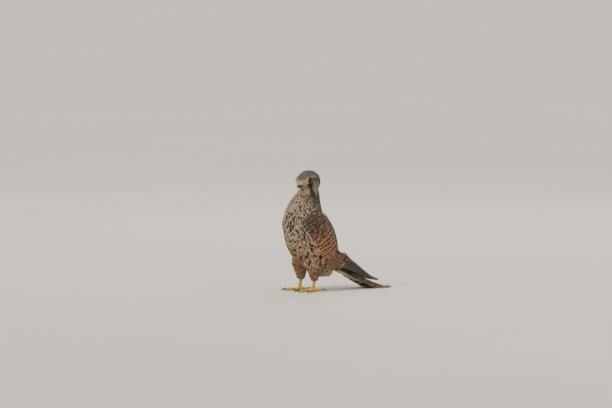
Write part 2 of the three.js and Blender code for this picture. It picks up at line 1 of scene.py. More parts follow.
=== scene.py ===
"""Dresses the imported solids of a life-size female common kestrel that stands with its head turned a little.

One skin replaces the solids of flesh. Over it lie the body feathers, as thin closed vanes that follow the lie
of the plumage, then the tiers of the two folded wings and of the tail. Sizes are in millimetres of the bird's
own frame until a mesh is made: +Z is up, the bird faces -Y and its left side is +X.
"""

from __future__ import annotations

import json
import logging
import math
from dataclasses import dataclass, field
from enum import Enum
from itertools import product
from typing import Callable, Sequence

import bpy
import numpy as np
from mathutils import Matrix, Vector, noise
from mathutils.bvhtree import BVHTree
from mathutils.kdtree import KDTree

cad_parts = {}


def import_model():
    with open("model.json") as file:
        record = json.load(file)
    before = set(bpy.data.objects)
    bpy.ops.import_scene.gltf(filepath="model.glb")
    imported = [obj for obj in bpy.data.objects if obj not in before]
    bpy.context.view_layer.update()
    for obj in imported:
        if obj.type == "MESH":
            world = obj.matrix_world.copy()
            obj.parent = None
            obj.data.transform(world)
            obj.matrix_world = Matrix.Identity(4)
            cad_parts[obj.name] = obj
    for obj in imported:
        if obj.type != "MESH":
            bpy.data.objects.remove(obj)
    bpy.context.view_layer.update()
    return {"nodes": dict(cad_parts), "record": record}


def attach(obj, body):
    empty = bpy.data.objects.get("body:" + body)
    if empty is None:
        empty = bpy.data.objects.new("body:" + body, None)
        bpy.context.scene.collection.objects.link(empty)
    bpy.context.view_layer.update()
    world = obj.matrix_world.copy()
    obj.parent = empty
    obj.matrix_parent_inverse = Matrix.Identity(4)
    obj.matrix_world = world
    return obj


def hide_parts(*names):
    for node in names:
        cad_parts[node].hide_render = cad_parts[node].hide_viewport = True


Array = np.ndarray
Chance = np.random.Generator
Material = bpy.types.Material
Piece = bpy.types.Object
Socket = bpy.types.NodeSocket
Pair = tuple[float, float]
Triple = tuple[float, float, float]
Four = tuple[float, float, float, float]
Rule = Callable[[Array], Array]
log = logging.getLogger("kestrel")

MM = 0.001
SEED = 20
GAP = 0.32
HEAD_AT = np.array([0.0, 1.5, 190.5])
HEAD_TURN = math.radians(20)
EYE_R = 6.0
EYE_AT = np.array([10.9, -10.6, 0.3])
EYE_AIM = np.array([0.8, -0.6, 0.04])
STANCE = 21.0
FOOT_Y = -1.0
PHOTO_SCALE = 1.72
AROUND = tuple(product((-1, 0, 1), repeat=3))
HEAD_START = (168, 177)
NOSTRIL_AT = np.array([4.9, -22.0, -2.0])
BILL_FROM = np.array([0.0, -20.0, -6.0])

# Centre of each ring of the trunk, its lean from level in degrees, and its reach to breast, back and side.
TRUNK = np.array([
    [2, 178, 0, 13, 19, 15], [0, 167, 2, 21, 22.5, 20], [-4, 153, 5, 30, 26.5, 26],
    [-6, 139, 9, 35.5, 30, 32.5], [-5, 124, 14, 39.5, 32, 37], [0, 108, 19, 42.5, 33.5, 38.5],
    [7, 91, 24, 45, 35.5, 37.5], [15, 74, 29, 41, 34, 34.5], [24, 58, 34, 33.5, 29, 29],
    [34, 44, 40, 25, 22, 21.5], [43, 34, 46, 15, 14, 13], [48, 28.5, 50, 4, 4, 4],
], float)

# Lower and upper edge of the left folded wing, from the wrist to the tip.
WING_LOW = np.array([
    [33, -37, 122], [40.5, -23, 100], [44, -6, 78], [42.5, 12, 58], [38.5, 33, 45],
    [32, 60, 37], [25.5, 90, 30], [18, 120, 21.5], [9.5, 147, 14.8],
], float)
WING_HIGH = np.array([
    [29, -17, 137], [22.5, 14, 131], [15, 35, 116], [9.5, 49, 97], [7, 61, 78],
    [6, 78, 61], [6, 98, 46.5], [6, 122, 31], [7.5, 148, 16.8],
], float)


class Side(Enum):
    """The bird's own left and right, as the sign of X."""

    LEFT = 1
    RIGHT = -1

    @property
    def word(self) -> str:
        """The side's name in lower case."""
        return self.name.lower()


# Sums on arrays


def unit(v: Array) -> Array:
    """Vectors scaled to length one along the last axis."""
    return v / (np.linalg.norm(v, axis=-1, keepdims=True) + 1e-12)


def mix(a: Array | float, b: Array | float, u: Array | float) -> Array | float:
    """Straight blend from a to b."""
    return a + (b - a) * u


def ease(low: float, high: float, x: Array | float) -> Array:
    """Smooth step from 0 at low to 1 at high."""
    u = np.clip((np.asarray(x, float) - low) / (high - low), 0, 1)
    return u * u * (3 - 2 * u)


def rows_at(rows: Array, at: Array | float) -> Array:
    """A smooth value through a table of rows.

    Args:
        rows: The table, one row a line.
        at: Places in rows from the first.

    Returns:
        One interpolated row for each place.
    """
    at = np.clip(np.asarray(at, float), 0, len(rows) - 1)
    i = np.clip(np.floor(at).astype(int), 0, len(rows) - 2)
    f = (at - i)[..., None]
    a, b, c, d = (rows[np.clip(i + k, 0, len(rows) - 1)] for k in (-1, 0, 1, 2))
    return b + 0.5 * f * (c - a + f * (2 * a - 5 * b + 4 * c - d + f * (3 * (b - c) + d - a)))


def turned(points: Array, angle: float) -> Array:
    """Points turned about the upright axis.

    Args:
        points: In the bird's frame.
        angle: In radians.

    Returns:
        The points, turned.
    """
    c, s = math.cos(angle), math.sin(angle)
    x, y = points[..., 0], points[..., 1]
    return np.stack([c * x - s * y, s * x + c * y, points[..., 2]], -1)


def from_head(points: Array) -> Array:
    """Points of the head's own frame, placed on the bird."""
    return turned(points, HEAD_TURN) + HEAD_AT


def to_head(points: Array) -> Array:
    """Points of the bird, in the head's own frame."""
    return turned(points - HEAD_AT, -HEAD_TURN)


def paint(red: int, green: int, blue: int) -> Array:
    """A colour as seen on a screen, turned to linear light."""
    c = np.array([red, green, blue]) / 255
    return np.where(c <= 0.04045, c / 12.92, ((c + 0.055) / 1.055) ** 2.4)


# Meshes


@dataclass(frozen=True)
class Ground:
    """Where the bird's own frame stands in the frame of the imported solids.

    Attributes:
        shift: Millimetres from the bird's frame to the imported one.
    """

    shift: Array

    @classmethod
    def from_record(cls, record: dict) -> "Ground":
        """Reads the shift from the sole of the left foot, whose place on the bird is known."""
        sole = np.array(record["mounts"][0]["pos_m"]) / MM
        return cls(sole - np.array([STANCE, FOOT_Y, 0]))

    def out(self, points: Array) -> Array:
        """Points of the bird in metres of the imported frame."""
        return (points + self.shift) * MM

    def back(self, points: Array) -> Array:
        """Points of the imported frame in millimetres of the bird."""
        return points / MM - self.shift


def mesh_object(name: str, points: Array, faces: Array, smooth: bool = True) -> Piece:
    """A new mesh object from arrays.

    Args:
        name: The object's name.
        points: Places in metres, one a row.
        faces: Vertex numbers, with the same count in each row.
        smooth: Whether the faces shade smoothly.

    Returns:
        The object, linked to the scene.
    """
    mesh = bpy.data.meshes.new(name)
    mesh.vertices.add(len(points))
    mesh.vertices.foreach_set("co", np.ascontiguousarray(points, np.float32).ravel())
    mesh.loops.add(faces.size)
    mesh.loops.foreach_set("vertex_index", np.ascontiguousarray(faces, np.int32).ravel())
    mesh.polygons.add(len(faces))
    mesh.polygons.foreach_set("loop_start", np.arange(0, faces.size, faces.shape[1], dtype=np.int32))
    mesh.polygons.foreach_set("use_smooth", np.full(len(faces), smooth))
    mesh.update(calc_edges=True)
    piece = bpy.data.objects.new(name, mesh)
    bpy.context.scene.collection.objects.link(piece)
    return piece


def add_uv(piece: Piece, name: str, corners: Array) -> None:
    """Adds a UV map from one place for each face corner."""
    layer = piece.data.uv_layers.new(name=name)
    layer.data.foreach_set("uv", np.ascontiguousarray(corners, np.float32).ravel())


def add_tint(piece: Piece, name: str, values: Array) -> None:
    """Adds one number, a colour or a set of four numbers for each vertex.

    Args:
        piece: The mesh.
        name: The attribute's name.
        values: One row for each vertex.
    """
    if values.ndim == 1:
        values = np.repeat(values[:, None], 3, 1)
    if values.shape[1] == 3:
        values = np.concatenate([values, np.full((len(values), 1), 0.5)], 1)
    tint = piece.data.attributes.new(name, "FLOAT_COLOR", "POINT")
    tint.data.foreach_set("color", np.ascontiguousarray(values, np.float32).ravel())


def ring_faces(rings: int, sides: int) -> Array:
    """Triangles of a closed tube through like rings, with both ends fanned from their first corner.

    Args:
        rings: How many rings.
        sides: Corners of each.

    Returns:
        The triangles.
    """
    i, j = np.meshgrid(np.arange(rings - 1), np.arange(sides), indexing="ij")
    a, b = i * sides + j, i * sides + (j + 1) % sides
    walls = np.stack([a, b, b + sides, a, b + sides, a + sides], -1).reshape(-1, 3)
    fan = np.arange(1, sides - 1)
    start = np.stack([np.zeros_like(fan), fan + 1, fan], -1)
    last = (rings - 1) * sides
    end = np.stack([np.full_like(fan, last), last + fan, last + fan + 1], -1)
    return np.concatenate([walls, start, end])


def outward(points: Array, faces: Array) -> Array:
    """The triangles of a closed form, turned over where they would face in."""
    a, b, c = (points[faces[:, k]] - points.mean(0) for k in range(3))
    return faces if (a * np.cross(b, c)).sum() > 0 else faces[:, ::-1]


def tube_object(name: str, rings: Array, ground: Ground) -> Piece:
    """A closed tube through rings of points given in millimetres of the bird."""
    points = rings.reshape(-1, 3)
    return mesh_object(name, ground.out(points), outward(points, ring_faces(*rings.shape[:2])))


def report(*pieces: Piece) -> None:
    """Logs the name and the count of faces of each piece."""
    for piece in pieces:
        log.info("%s: %d faces", piece.name, len(piece.data.polygons))


def vertex_rows(mesh: bpy.types.Mesh, name: str = "co") -> Array:
    """What each vertex of a mesh holds.

    Args:
        mesh: The mesh.
        name: Their places or their normals.

    Returns:
        One row for each vertex.
    """
    rows = np.empty(len(mesh.vertices) * 3, np.float32)
    mesh.vertices.foreach_get(name, rows)
    return rows.reshape(-1, 3).astype(float)


def triangles(mesh: bpy.types.Mesh) -> Array:
    """The mesh cut into triangles.

    Args:
        mesh: The mesh.

    Returns:
        Three vertex numbers a row.
    """
    mesh.calc_loop_triangles()
    corners = np.empty(len(mesh.loop_triangles) * 3, np.int32)
    mesh.loop_triangles.foreach_get("vertices", corners)
    return corners.reshape(-1, 3)


def move_vertices(mesh: bpy.types.Mesh, places: Array) -> None:
    """Puts a mesh's vertices at places in metres."""
    mesh.vertices.foreach_set("co", places.astype(np.float32).ravel())
    mesh.update()


def search_tree(points: Array, faces: Array) -> BVHTree:
    """A tree for finding the nearest place of a surface."""
    return BVHTree.FromPolygons([tuple(p) for p in points], faces.tolist())


def joined_skin(name: str, sources: Sequence[Piece], voxel: float, rounds: int) -> Piece:
    """One closed, smooth mesh over several closed ones.

    Args:
        name: The new object's name.
        sources: The objects to cover, which stay as they are.
        voxel: Size of its grain in metres.
        rounds: Rounds of smoothing.

    Returns:
        The new object.
    """
    points, faces, first = [], [], 0
    for source in sources:
        points.append(vertex_rows(source.data))
        faces.append(triangles(source.data) + first)
        first += len(source.data.vertices)
    piece = mesh_object(name, np.concatenate(points), np.concatenate(faces))
    grain = piece.modifiers.new("grain", "REMESH")
    grain.mode = "VOXEL"
    grain.voxel_size = voxel
    grain.use_smooth_shade = True
    calm = piece.modifiers.new("calm", "SMOOTH")
    calm.factor = 0.5
    calm.iterations = rounds
    seen = piece.evaluated_get(bpy.context.evaluated_depsgraph_get())
    mesh = bpy.data.meshes.new_from_object(seen)
    piece.modifiers.clear()
    old, piece.data = piece.data, mesh
    bpy.data.meshes.remove(old)
    return piece


# Finishes


class Nodes:
    """Short calls for building a material's nodes."""

    def __init__(self, name: str) -> None:
        """Starts an empty material with a surface shader.

        Args:
            name: The material's name.
        """
        self.material = bpy.data.materials.new(name)
        self.material.use_nodes = True
        self.tree = self.material.node_tree
        self.tree.nodes.clear()
        self.shader = self.tree.nodes.new("ShaderNodeBsdfPrincipled")
        output = self.tree.nodes.new("ShaderNodeOutputMaterial")
        self.tree.links.new(self.shader.outputs["BSDF"], output.inputs["Surface"])

    def node(self, kind: str, **settings: object) -> bpy.types.Node:
        """A new node with some of its settings.

        Args:
            kind: The node's type.
            settings: What to set on it.

        Returns:
            The node.
        """
        made = self.tree.nodes.new(kind)
        for key, value in settings.items():
            setattr(made, key, value)
        return made

    def feed(self, socket: Socket, value: object) -> None:
        """Links a socket, or sets its value.

        Args:
            socket: The input.
            value: An output, a plain value, or nothing.
        """
        if isinstance(value, Socket):
            self.tree.links.new(value, socket)
        elif value is not None:
            socket.default_value = value

    def sum(self, operation: str, a: object, b: object = None) -> Socket:
        """One operation on one or two values.

        Args:
            operation: Its name.
            a: First value.
            b: Second value.

        Returns:
            The result.
        """
        made = self.node("ShaderNodeMath", operation=operation)
        self.feed(made.inputs[0], a)
        self.feed(made.inputs[1], b)
        return made.outputs[0]

    def times(self, a: object, b: object) -> Socket:
        """The product of two values."""
        return self.sum("MULTIPLY", a, b)

    def plus(self, a: object, b: object) -> Socket:
        """Two values added."""
        return self.sum("ADD", a, b)

    def minus(self, a: object, b: object) -> Socket:
        """One value less another."""
        return self.sum("SUBTRACT", a, b)

    def ramp(self, value: object, low: float, high: float, start: float = 0.0,
             end: float = 1.0) -> Socket:
        """A smooth step of a value from low to high.

        Args:
            value: What is stepped.
            low: Where it starts.
            high: Where it ends.
            start: Result at low.
            end: Result at high.

        Returns:
            The result.
        """
        made = self.node("ShaderNodeMapRange", interpolation_type="SMOOTHSTEP")
        for socket, number in zip(made.inputs, (value, low, high, start, end)):
            self.feed(socket, number)
        return made.outputs[0]

    def blend(self, share: object, a: object, b: object) -> Socket:
        """Two colours mixed.

        Args:
            share: Of the second colour.
            a: First colour.
            b: Second colour.

        Returns:
            The colour.
        """
        made = self.node("ShaderNodeMix", data_type="RGBA")
        self.feed(made.inputs[0], share)
        self.feed(made.inputs[6], a)
        self.feed(made.inputs[7], b)
        return made.outputs[2]

    def noise(self, scale: float, detail: float = 3.0) -> Socket:
        """Fractal noise between 0 and 1.

        Args:
            scale: Clouds per metre.
            detail: Octaves.

        Returns:
            The value.
        """
        made = self.node("ShaderNodeTexNoise")
        self.feed(made.inputs["Vector"], self.node("ShaderNodeTexCoord").outputs["Object"])
        made.inputs["Scale"].default_value = scale
        made.inputs["Detail"].default_value = detail
        return made.outputs["Fac"]

    def tint(self, name: str) -> bpy.types.Node:
        """Reads a vertex attribute."""
        return self.node("ShaderNodeAttribute", attribute_name=name)

    def tone(self, scale: float, detail: float, span: Pair, colour: tuple[float, ...],
             deep: float) -> Socket:
        """A colour that darkens to a deep share of itself in clouds, where their noise spans two values."""
        darker = (*(c * deep for c in colour), 1.0)
        return self.blend(self.ramp(self.noise(scale, detail), *span), (*colour, 1.0), darker)

    def bump(self, height: object, distance: float, strength: float = 1.0) -> None:
        """Feeds a height to the shader's normal.

        Args:
            height: The height.
            distance: Its reach in metres.
            strength: Share of it that is used.
        """
        made = self.node("ShaderNodeBump")
        made.inputs["Strength"].default_value = strength
        made.inputs["Distance"].default_value = distance
        self.feed(made.inputs["Height"], height)
        self.feed(self.shader.inputs["Normal"], made.outputs[0])

    def set(self, **values: object) -> None:
        """Sets plain values on the shader's own sockets."""
        for key, value in values.items():
            self.feed(self.shader.inputs[key.replace("_", " ")], value)


@dataclass(frozen=True)
class Plumage:
    """Feathers whose ground, dark marks and pale fringe come from what each feather carries.

    Attributes:
        roughness: Of the vane's surface.
        barb_depth: Depth of the fine lines of barbs, in metres.
        barbs: Count of barbs along one feather.
        shaft: Strength of the dark shaft.
    """

    name: str = "plumage"
    roughness: float = 0.78
    barb_depth: float = 0.00005
    barbs: float = 26.0
    shaft: float = 0.14

    def make(self) -> Material:
        """Builds the material.

        Returns:
            The material.
        """
        n = Nodes(self.name)
        uv = n.node("ShaderNodeUVMap", uv_map="vane").outputs[0]
        parts = n.node("ShaderNodeSeparateXYZ")
        n.feed(parts.inputs[0], uv)
        across, along = parts.outputs[0], parts.outputs[1]
        away = n.sum("ABSOLUTE", n.minus(n.times(across, 2.0), 1.0))
        wobble = n.minus(n.noise(420.0, 2.0), 0.5)
        marks = n.node("ShaderNodeSeparateColor")
        marks_read = n.tint("marks")
        n.feed(marks.inputs[0], marks_read.outputs["Color"])
        streak, spot, bars = marks.outputs[0], marks.outputs[1], marks.outputs[2]
        fringe = marks_read.outputs["Alpha"]
        wavy_away = n.plus(away, n.times(wobble, 0.5))
        wavy_along = n.plus(along, n.times(wobble, 0.16))
        swell = n.ramp(along, 0.1, 0.7, 0.25, 1.0)
        narrow = n.ramp(along, 0.9, 1.0, 1.0, 0.3)
        reach = n.times(n.times(streak, swell), narrow)
        streak_mask = n.ramp(n.minus(reach, wavy_away), -0.08, 0.14)
        up = n.sum("DIVIDE", n.minus(wavy_along, 0.84), 0.3)
        far = n.sum("SQRT", n.plus(n.times(up, up), n.times(wavy_away, wavy_away)))
        spot_mask = n.ramp(n.minus(spot, far), -0.1, 0.14)
        turns = n.times(n.minus(wavy_along, 1.0), n.times(bars, 20.0))
        own = n.times(n.tint("dark").outputs["Alpha"], 2.2)
        phase = n.plus(n.times(turns, 2 * math.pi), n.times(wavy_away, 1.7))
        wave = n.sum("COSINE", n.plus(n.plus(phase, 2.0), own))
        barred = n.ramp(bars, 0.02, 0.05)
        bars_seen = n.times(n.ramp(wave, -0.3, 0.05), barred)
        bar_mask = n.times(bars_seen, n.ramp(away, 1.0, 0.86))
        mask = n.sum("MAXIMUM", n.sum("MAXIMUM", streak_mask, spot_mask), bar_mask)
        ground, dark = n.tint("ground").outputs["Color"], n.tint("dark").outputs["Color"]
        colour = n.blend(mask, ground, dark)
        edge = n.sum("MAXIMUM", n.ramp(wavy_away, 0.78, 1.0), n.ramp(wavy_along, 0.92, 1.0))
        pale = n.blend(0.6, ground, (0.7, 0.56, 0.42, 1.0))
        colour = n.blend(n.times(edge, fringe), colour, pale)
        shaft = n.ramp(away, 0.0, 0.08, self.shaft, 0.0)
        colour = n.blend(shaft, colour, (0.035, 0.022, 0.016, 1.0))
        # The sine of the barbs also lightens and darkens the colour along them as painted shade of their
        # grooves, over a random tone from the noise.
        slant = n.minus(along, n.times(away, 0.22))
        ribs = n.sum("SINE", n.times(slant, self.barbs * 2 * math.pi))
        soft = n.plus(n.times(n.noise(260.0, 3.0), 0.5), 0.76)
        shade = n.times(soft, n.plus(n.times(ribs, 0.07), 1.0))
        lit = n.node("ShaderNodeVectorMath", operation="SCALE")
        n.feed(lit.inputs[0], colour)
        n.feed(lit.inputs[3], shade)
        n.set(Base_Color=lit.outputs[0], Roughness=self.roughness, Specular_IOR_Level=0.22,
              Sheen_Weight=0.22, Sheen_Roughness=0.45)
        n.bump(ribs, self.barb_depth, 0.8)
        return n.material


@dataclass(frozen=True)
class Hide:
    """Skin under the feathers, in the feathers' own colours darkened as painted shade for the gaps between
    them, with soft mottling.
    """

    name: str = "hide"

    def make(self) -> Material:
        """Builds the material.

        Returns:
            The material.
        """
        n = Nodes(self.name)
        ground, dark = n.tint("ground").outputs["Color"], n.tint("dark").outputs["Color"]
        share = n.ramp(n.noise(330.0, 4.0), 0.35, 0.65)
        n.set(Base_Color=n.blend(share, dark, ground), Roughness=0.9, Specular_IOR_Level=0.15)
        n.bump(n.noise(900.0, 3.0), 0.0003)
        return n.material


@dataclass(frozen=True)
class Scaly:
    """Bare yellow skin, in its own colour on raised plates and darker between them as painted shade in the
    creases.

    Attributes:
        plate: Colour of the plates.
        crease_shade: Colour of the painted shade in the creases between them.
        grain: Fineness of the small scales, per metre.
    """

    name: str
    plate: tuple[float, ...]
    crease_shade: tuple[float, ...]
    grain: float = 900.0
    roughness: float = 0.42

    def make(self) -> Material:
        """Builds the material.

        Returns:
            The material.
        """
        n = Nodes(self.name)
        cells = n.node("ShaderNodeTexVoronoi", feature="DISTANCE_TO_EDGE")
        n.feed(cells.inputs["Vector"], n.node("ShaderNodeTexCoord").outputs["Object"])
        cells.inputs["Scale"].default_value = self.grain
        edge = n.ramp(cells.outputs["Distance"], 0.0, 0.16)
        read = n.node("ShaderNodeSeparateColor")
        n.feed(read.inputs[0], n.tint("relief").outputs["Color"])
        relief, scuted = read.outputs[0], read.outputs[1]
        plates = n.ramp(relief, 0.1, 0.62)
        raised = n.plus(edge, n.times(scuted, n.minus(plates, edge)))
        tone = n.tone(160.0, 4.0, (0.35, 0.7), self.plate, 0.78)
        # Where the relief is low, the colour turns to the painted crease shade.
        colour = n.blend(raised, (*self.crease_shade, 1.0), tone)
        n.set(Base_Color=colour, Roughness=self.roughness, Specular_IOR_Level=0.45, Subsurface_Weight=0.12,
              Subsurface_Radius=(0.6, 0.3, 0.1), Subsurface_Scale=0.001)
        n.bump(raised, 0.00014)
        return n.material


@dataclass(frozen=True)
class Horn:
    """Bill or claw: horn that darkens from root to tip.

    Attributes:
        root: Colour at the root.
        tip: Colour at the tip.
        turn: Share of the length at which the tip's colour begins, and at which it is full.
    """

    name: str
    root: tuple[float, ...]
    tip: tuple[float, ...]
    turn: Pair = (0.4, 0.75)
    roughness: float = 0.3

    def make(self) -> Material:
        """Builds the material.

        Returns:
            The material.
        """
        n = Nodes(self.name)
        along = n.tint("along").outputs["Fac"]
        wavy = n.plus(along, n.times(n.minus(n.noise(500.0), 0.5), 0.16))
        colour = n.blend(n.ramp(wavy, *self.turn), (*self.root, 1.0), (*self.tip, 1.0))
        mottled = n.blend(n.ramp(n.noise(1400.0, 5.0), 0.3, 0.8, 0.0, 0.25), colour, (0.3, 0.3, 0.28, 1.0))
        n.set(Base_Color=mottled, Roughness=self.roughness, Specular_IOR_Level=0.5, Coat_Weight=0.25,
              Coat_Roughness=0.2)
        n.bump(n.noise(700.0, 4.0), 0.00008)
        return n.material


@dataclass(frozen=True)
class WetEye:
    """A dark brown iris round a black pupil, with a wet, glossy surface."""

    name: str = "eye"

    def make(self) -> Material:
        """Builds the material.

        Returns:
            The material.
        """
        n = Nodes(self.name)
        ring = n.tint("ring").outputs["Fac"]
        fibres = n.noise(2200.0, 4.0)
        iris = n.blend(n.ramp(fibres, 0.3, 0.7), (0.028, 0.011, 0.005, 1.0), (0.075, 0.032, 0.014, 1.0))
        colour = n.blend(n.ramp(ring, 0.19, 0.22), (0.002, 0.002, 0.002, 1.0), iris)
        colour = n.blend(n.ramp(ring, 0.34, 0.4), colour, (0.012, 0.008, 0.006, 1.0))
        n.set(Base_Color=colour, Roughness=0.05, Specular_IOR_Level=0.5)
        return n.material


@dataclass(frozen=True)
class Backdrop:
    """Plain pale floor."""

    name: str = "floor"
    colour: Triple = (0.86, 0.81, 0.73)

    def make(self) -> Material:
        """Builds the material.

        Returns:
            The material.
        """
        n = Nodes(self.name)
        tone = n.tone(1.6, 2.0, (0.3, 0.7), self.colour, 0.985)
        n.set(Base_Color=tone, Roughness=0.9, Specular_IOR_Level=0.1)
        return n.material


# Markings


@dataclass
class Look:
    """What each of a set of feathers is like.

    Attributes:
        length: From root to tip.
        half: Half of the width.
        lift: Height of the tip over the skin.
        ground: Colour between the marks.
        dark: Colour of the marks.
        marks: Streak width, spot size, bars over 20, and strength of the pale fringe.
    """

    length: Array
    half: Array
    lift: Array
    ground: Array
    dark: Array
    marks: Array


DARK = paint(42, 32, 28)
HEAD_GREY = paint(104, 98, 98)
HEAD_DARK = paint(52, 43, 40)
CHEEK = paint(156, 140, 124)
LORES = paint(160, 148, 130)
THROAT = paint(186, 150, 114)
NAPE = paint(114, 101, 92)
BREAST = paint(182, 158, 132)
BELLY = paint(168, 136, 102)
THIGH = paint(152, 122, 92)
VENT = paint(186, 158, 122)
MANTLE = paint(126, 88, 62)


@dataclass(frozen=True)
class Markings:
    """The plumage's sizes, colours and marks as functions of place.

    Attributes:
        stripe: Both ends of the dark stripe under the eye, in the head's frame.
        behind: Those of the dusky line behind the eye.
        brow: Those of the pale brow.
        lores: Those of the pale patch before the eye.
    """

    stripe: tuple[Array, Array] = (np.array([13.0, -13.0, -6.0]), np.array([15.5, -9.0, -19.0]))
    behind: tuple[Array, Array] = (np.array([15.5, -6.0, 1.5]), np.array([18.5, 5.0, -0.5]))
    brow: tuple[Array, Array] = (np.array([9.0, -17.5, 4.0]), np.array([16.5, -2.0, 7.5]))
    lores: tuple[Array, Array] = (np.array([6.5, -19.0, -1.5]), np.array([10.0, -16.5, -3.0]))

    @staticmethod
    def near(points: Array, segment: tuple[Array, Array], width: float) -> Array:
        """How near points lie to a segment, from 1 on it to 0 past its width.

        Args:
            points: The places.
            segment: Its two ends.
            width: How far it reaches.

        Returns:
            One share for each point.
        """
        a, b = segment
        along = np.clip(((points - a) @ (b - a)) / ((b - a) @ (b - a)), 0, 1)
        away = np.linalg.norm(points - (a + along[:, None] * (b - a)), axis=1)
        return 1 - ease(width * 0.55, width, away)

    def at(self, places: Array, rng: Chance) -> Look:
        """The look of feathers rooted at places.

        Args:
            places: Roots in millimetres of the bird.
            rng: Source of the small differences between feathers.

        Returns:
            Their sizes, colours and marks.
        """
        count = len(places)
        x, y, z = places.T
        axis_y = np.interp(-z, -TRUNK[:, 1], TRUNK[:, 0])
        reach = np.interp(-z, -TRUNK[:, 1], TRUNK[:, 3:5].mean(1))
        back = (y - axis_y) / reach
        thigh = self.on_thigh(places)
        head = ease(*HEAD_START, z)
        low = ease(104, 70, z)
        vent = ease(46, 36, z) * (1 - thigh) * ease(14, 30, y)
        behind = ease(0.1, 0.4, back) * (1 - head)

        length = mix(mix(13.5, 16.0, low), 10.0, thigh)
        length = mix(length, 8.0, ease(130, 165, z))
        half = length * mix(0.29, 0.22, thigh)
        lift = mix(1.5, 1.1, ease(130, 165, z))
        ground = mix(BREAST, BELLY, low[:, None])
        ground = mix(ground, THIGH, thigh[:, None])
        ground = mix(ground, VENT, vent[:, None])
        ground = mix(ground, MANTLE, behind[:, None])
        dark = np.tile(DARK, (count, 1))
        spotted = rng.random(count) < low
        streak = np.where(spotted, 0.12, 0.58) * (1 - vent)
        flank = ease(0.35, 0.7, np.abs(x) / 36)
        spot = np.where(spotted, mix(0.66, 0.82, flank), 0.0) * (1 - vent) * mix(1.0, 0.75, thigh)
        fringe = mix(0.3, 0.15, low)
        streak = mix(streak, 0.0, behind)
        spot = mix(spot, 0.5, behind)

        q = to_head(places)
        qx, qy, qz = np.abs(q[:, 0]), q[:, 1], q[:, 2]
        face = np.stack([qx, qy, qz], 1)
        front = ease(8, -14, qy)
        length = mix(length, mix(5.6, 3.4, front), head)
        half = mix(half, mix(1.25, 0.72, front), head)
        lift = mix(lift, mix(0.62, 0.42, front), head)
        crown = mix(HEAD_GREY, paint(134, 118, 102), ease(8, -16, qy)[:, None] * 0.5)
        side = ease(3.0, -3.0, qz) * ease(9, 2, qy)
        skull = mix(crown, CHEEK, side[:, None])
        under = ease(-9, -14.5, qz) * ease(6, -5, qy)
        skull = mix(skull, THROAT, under[:, None])
        brow = self.near(face, self.brow, 2.8)
        skull = mix(skull, LORES, brow[:, None] * 0.6)
        lores = self.near(face, self.lores, 4.2)
        skull = mix(skull, LORES, lores[:, None] * 0.7)
        ground = mix(ground, skull, head[:, None])
        pale = np.clip(under + side * 0.7 + lores, 0, 1)
        streak = mix(streak, mix(0.4, 0.1, pale), head)
        spot = mix(spot, 0.0, head)
        fringe = mix(fringe, 0.12, head)

        nape = ease(132, 160, z) * ease(-0.8, 0.1, back) * (1 - head)
        ground = mix(ground, NAPE, nape[:, None])
        streak = mix(streak, 0.6, nape)
        spot = mix(spot, 0.0, nape)

        dusk = self.near(face, self.stripe, 6.2) * 1.15 + self.near(face, self.behind, 3.4) * 0.55
        dusk = np.clip(dusk, 0, 1)
        ground = mix(ground, HEAD_DARK, dusk[:, None])
        streak, fringe = streak * (1 - dusk), fringe * (1 - dusk)

        vary = 1 + 0.12 * rng.standard_normal(count)
        length = length * (1 + 0.1 * rng.standard_normal(count))
        half = half * (1 + 0.08 * rng.standard_normal(count))
        marks = np.stack([streak * vary, spot * vary, np.zeros(count), fringe], 1)
        cloud = np.array([noise.noise(Vector(place) * 0.09) for place in places])
        ground = ground * (1 + 0.22 * cloud + 0.08 * rng.standard_normal(count))[:, None]
        return Look(length, half, lift, np.clip(ground, 0.004, 1), dark, np.clip(marks, 0, 1))

    @staticmethod
    def on_thigh(places: Array) -> Array:
        """How far places belong to the feathered shanks."""
        return ease(58, 46, places[:, 2]) * ease(28, 20, places[:, 1])

    @staticmethod
    def chosen(places: Array, lie: Array, rng: Chance) -> Array:
        """Picks the feathers that carry a mark: marks stand apart, or follow each other along the lie.

        Args:
            places: The feathers' roots.
            lie: Which way each points.
            rng: Source of the order of picking.

        Returns:
            Which feathers are marked.
        """
        z = places[:, 2]
        gap = mix(3.5, 4.8, ease(112, 72, z))
        gap = mix(gap, 3.6, Markings.on_thigh(places))
        gap = mix(gap, 1.5, ease(150, 176, z))
        tree = KDTree(len(places))
        for i, place in enumerate(places):
            tree.insert(place, i)
        tree.balance()
        marked = np.zeros(len(places), bool)
        for i in rng.permutation(len(places)):
            near = [j for _, j, _ in tree.find_range(places[i], float(gap[i])) if marked[j]]
            if near:
                away = places[near] - places[i]
                along = away @ lie[i]
                across = np.linalg.norm(away - along[:, None] * lie[i], axis=1)
                close = across ** 2 + (1.1 * along) ** 2 < gap[i] ** 2
                if (close & ~((across < 1.5) & (np.abs(along) > 1.4))).any():
                    continue
            marked[i] = True
        return marked

    def spacing(self, places: Array) -> Array:
        """Least distance between roots at some places.

        Args:
            places: The places.

        Returns:
            The distances.
        """
        z = places[:, 2]
        q = to_head(places)
        face = ease(-2, -14, q[:, 1]) * ease(*HEAD_START, z)
        gap = mix(2.8, 1.9, ease(132, 165, z))
        gap = mix(gap, 2.1, self.on_thigh(places))
        gap = mix(gap, 1.2, ease(166, 176, z))
        return mix(gap, 0.84, face)

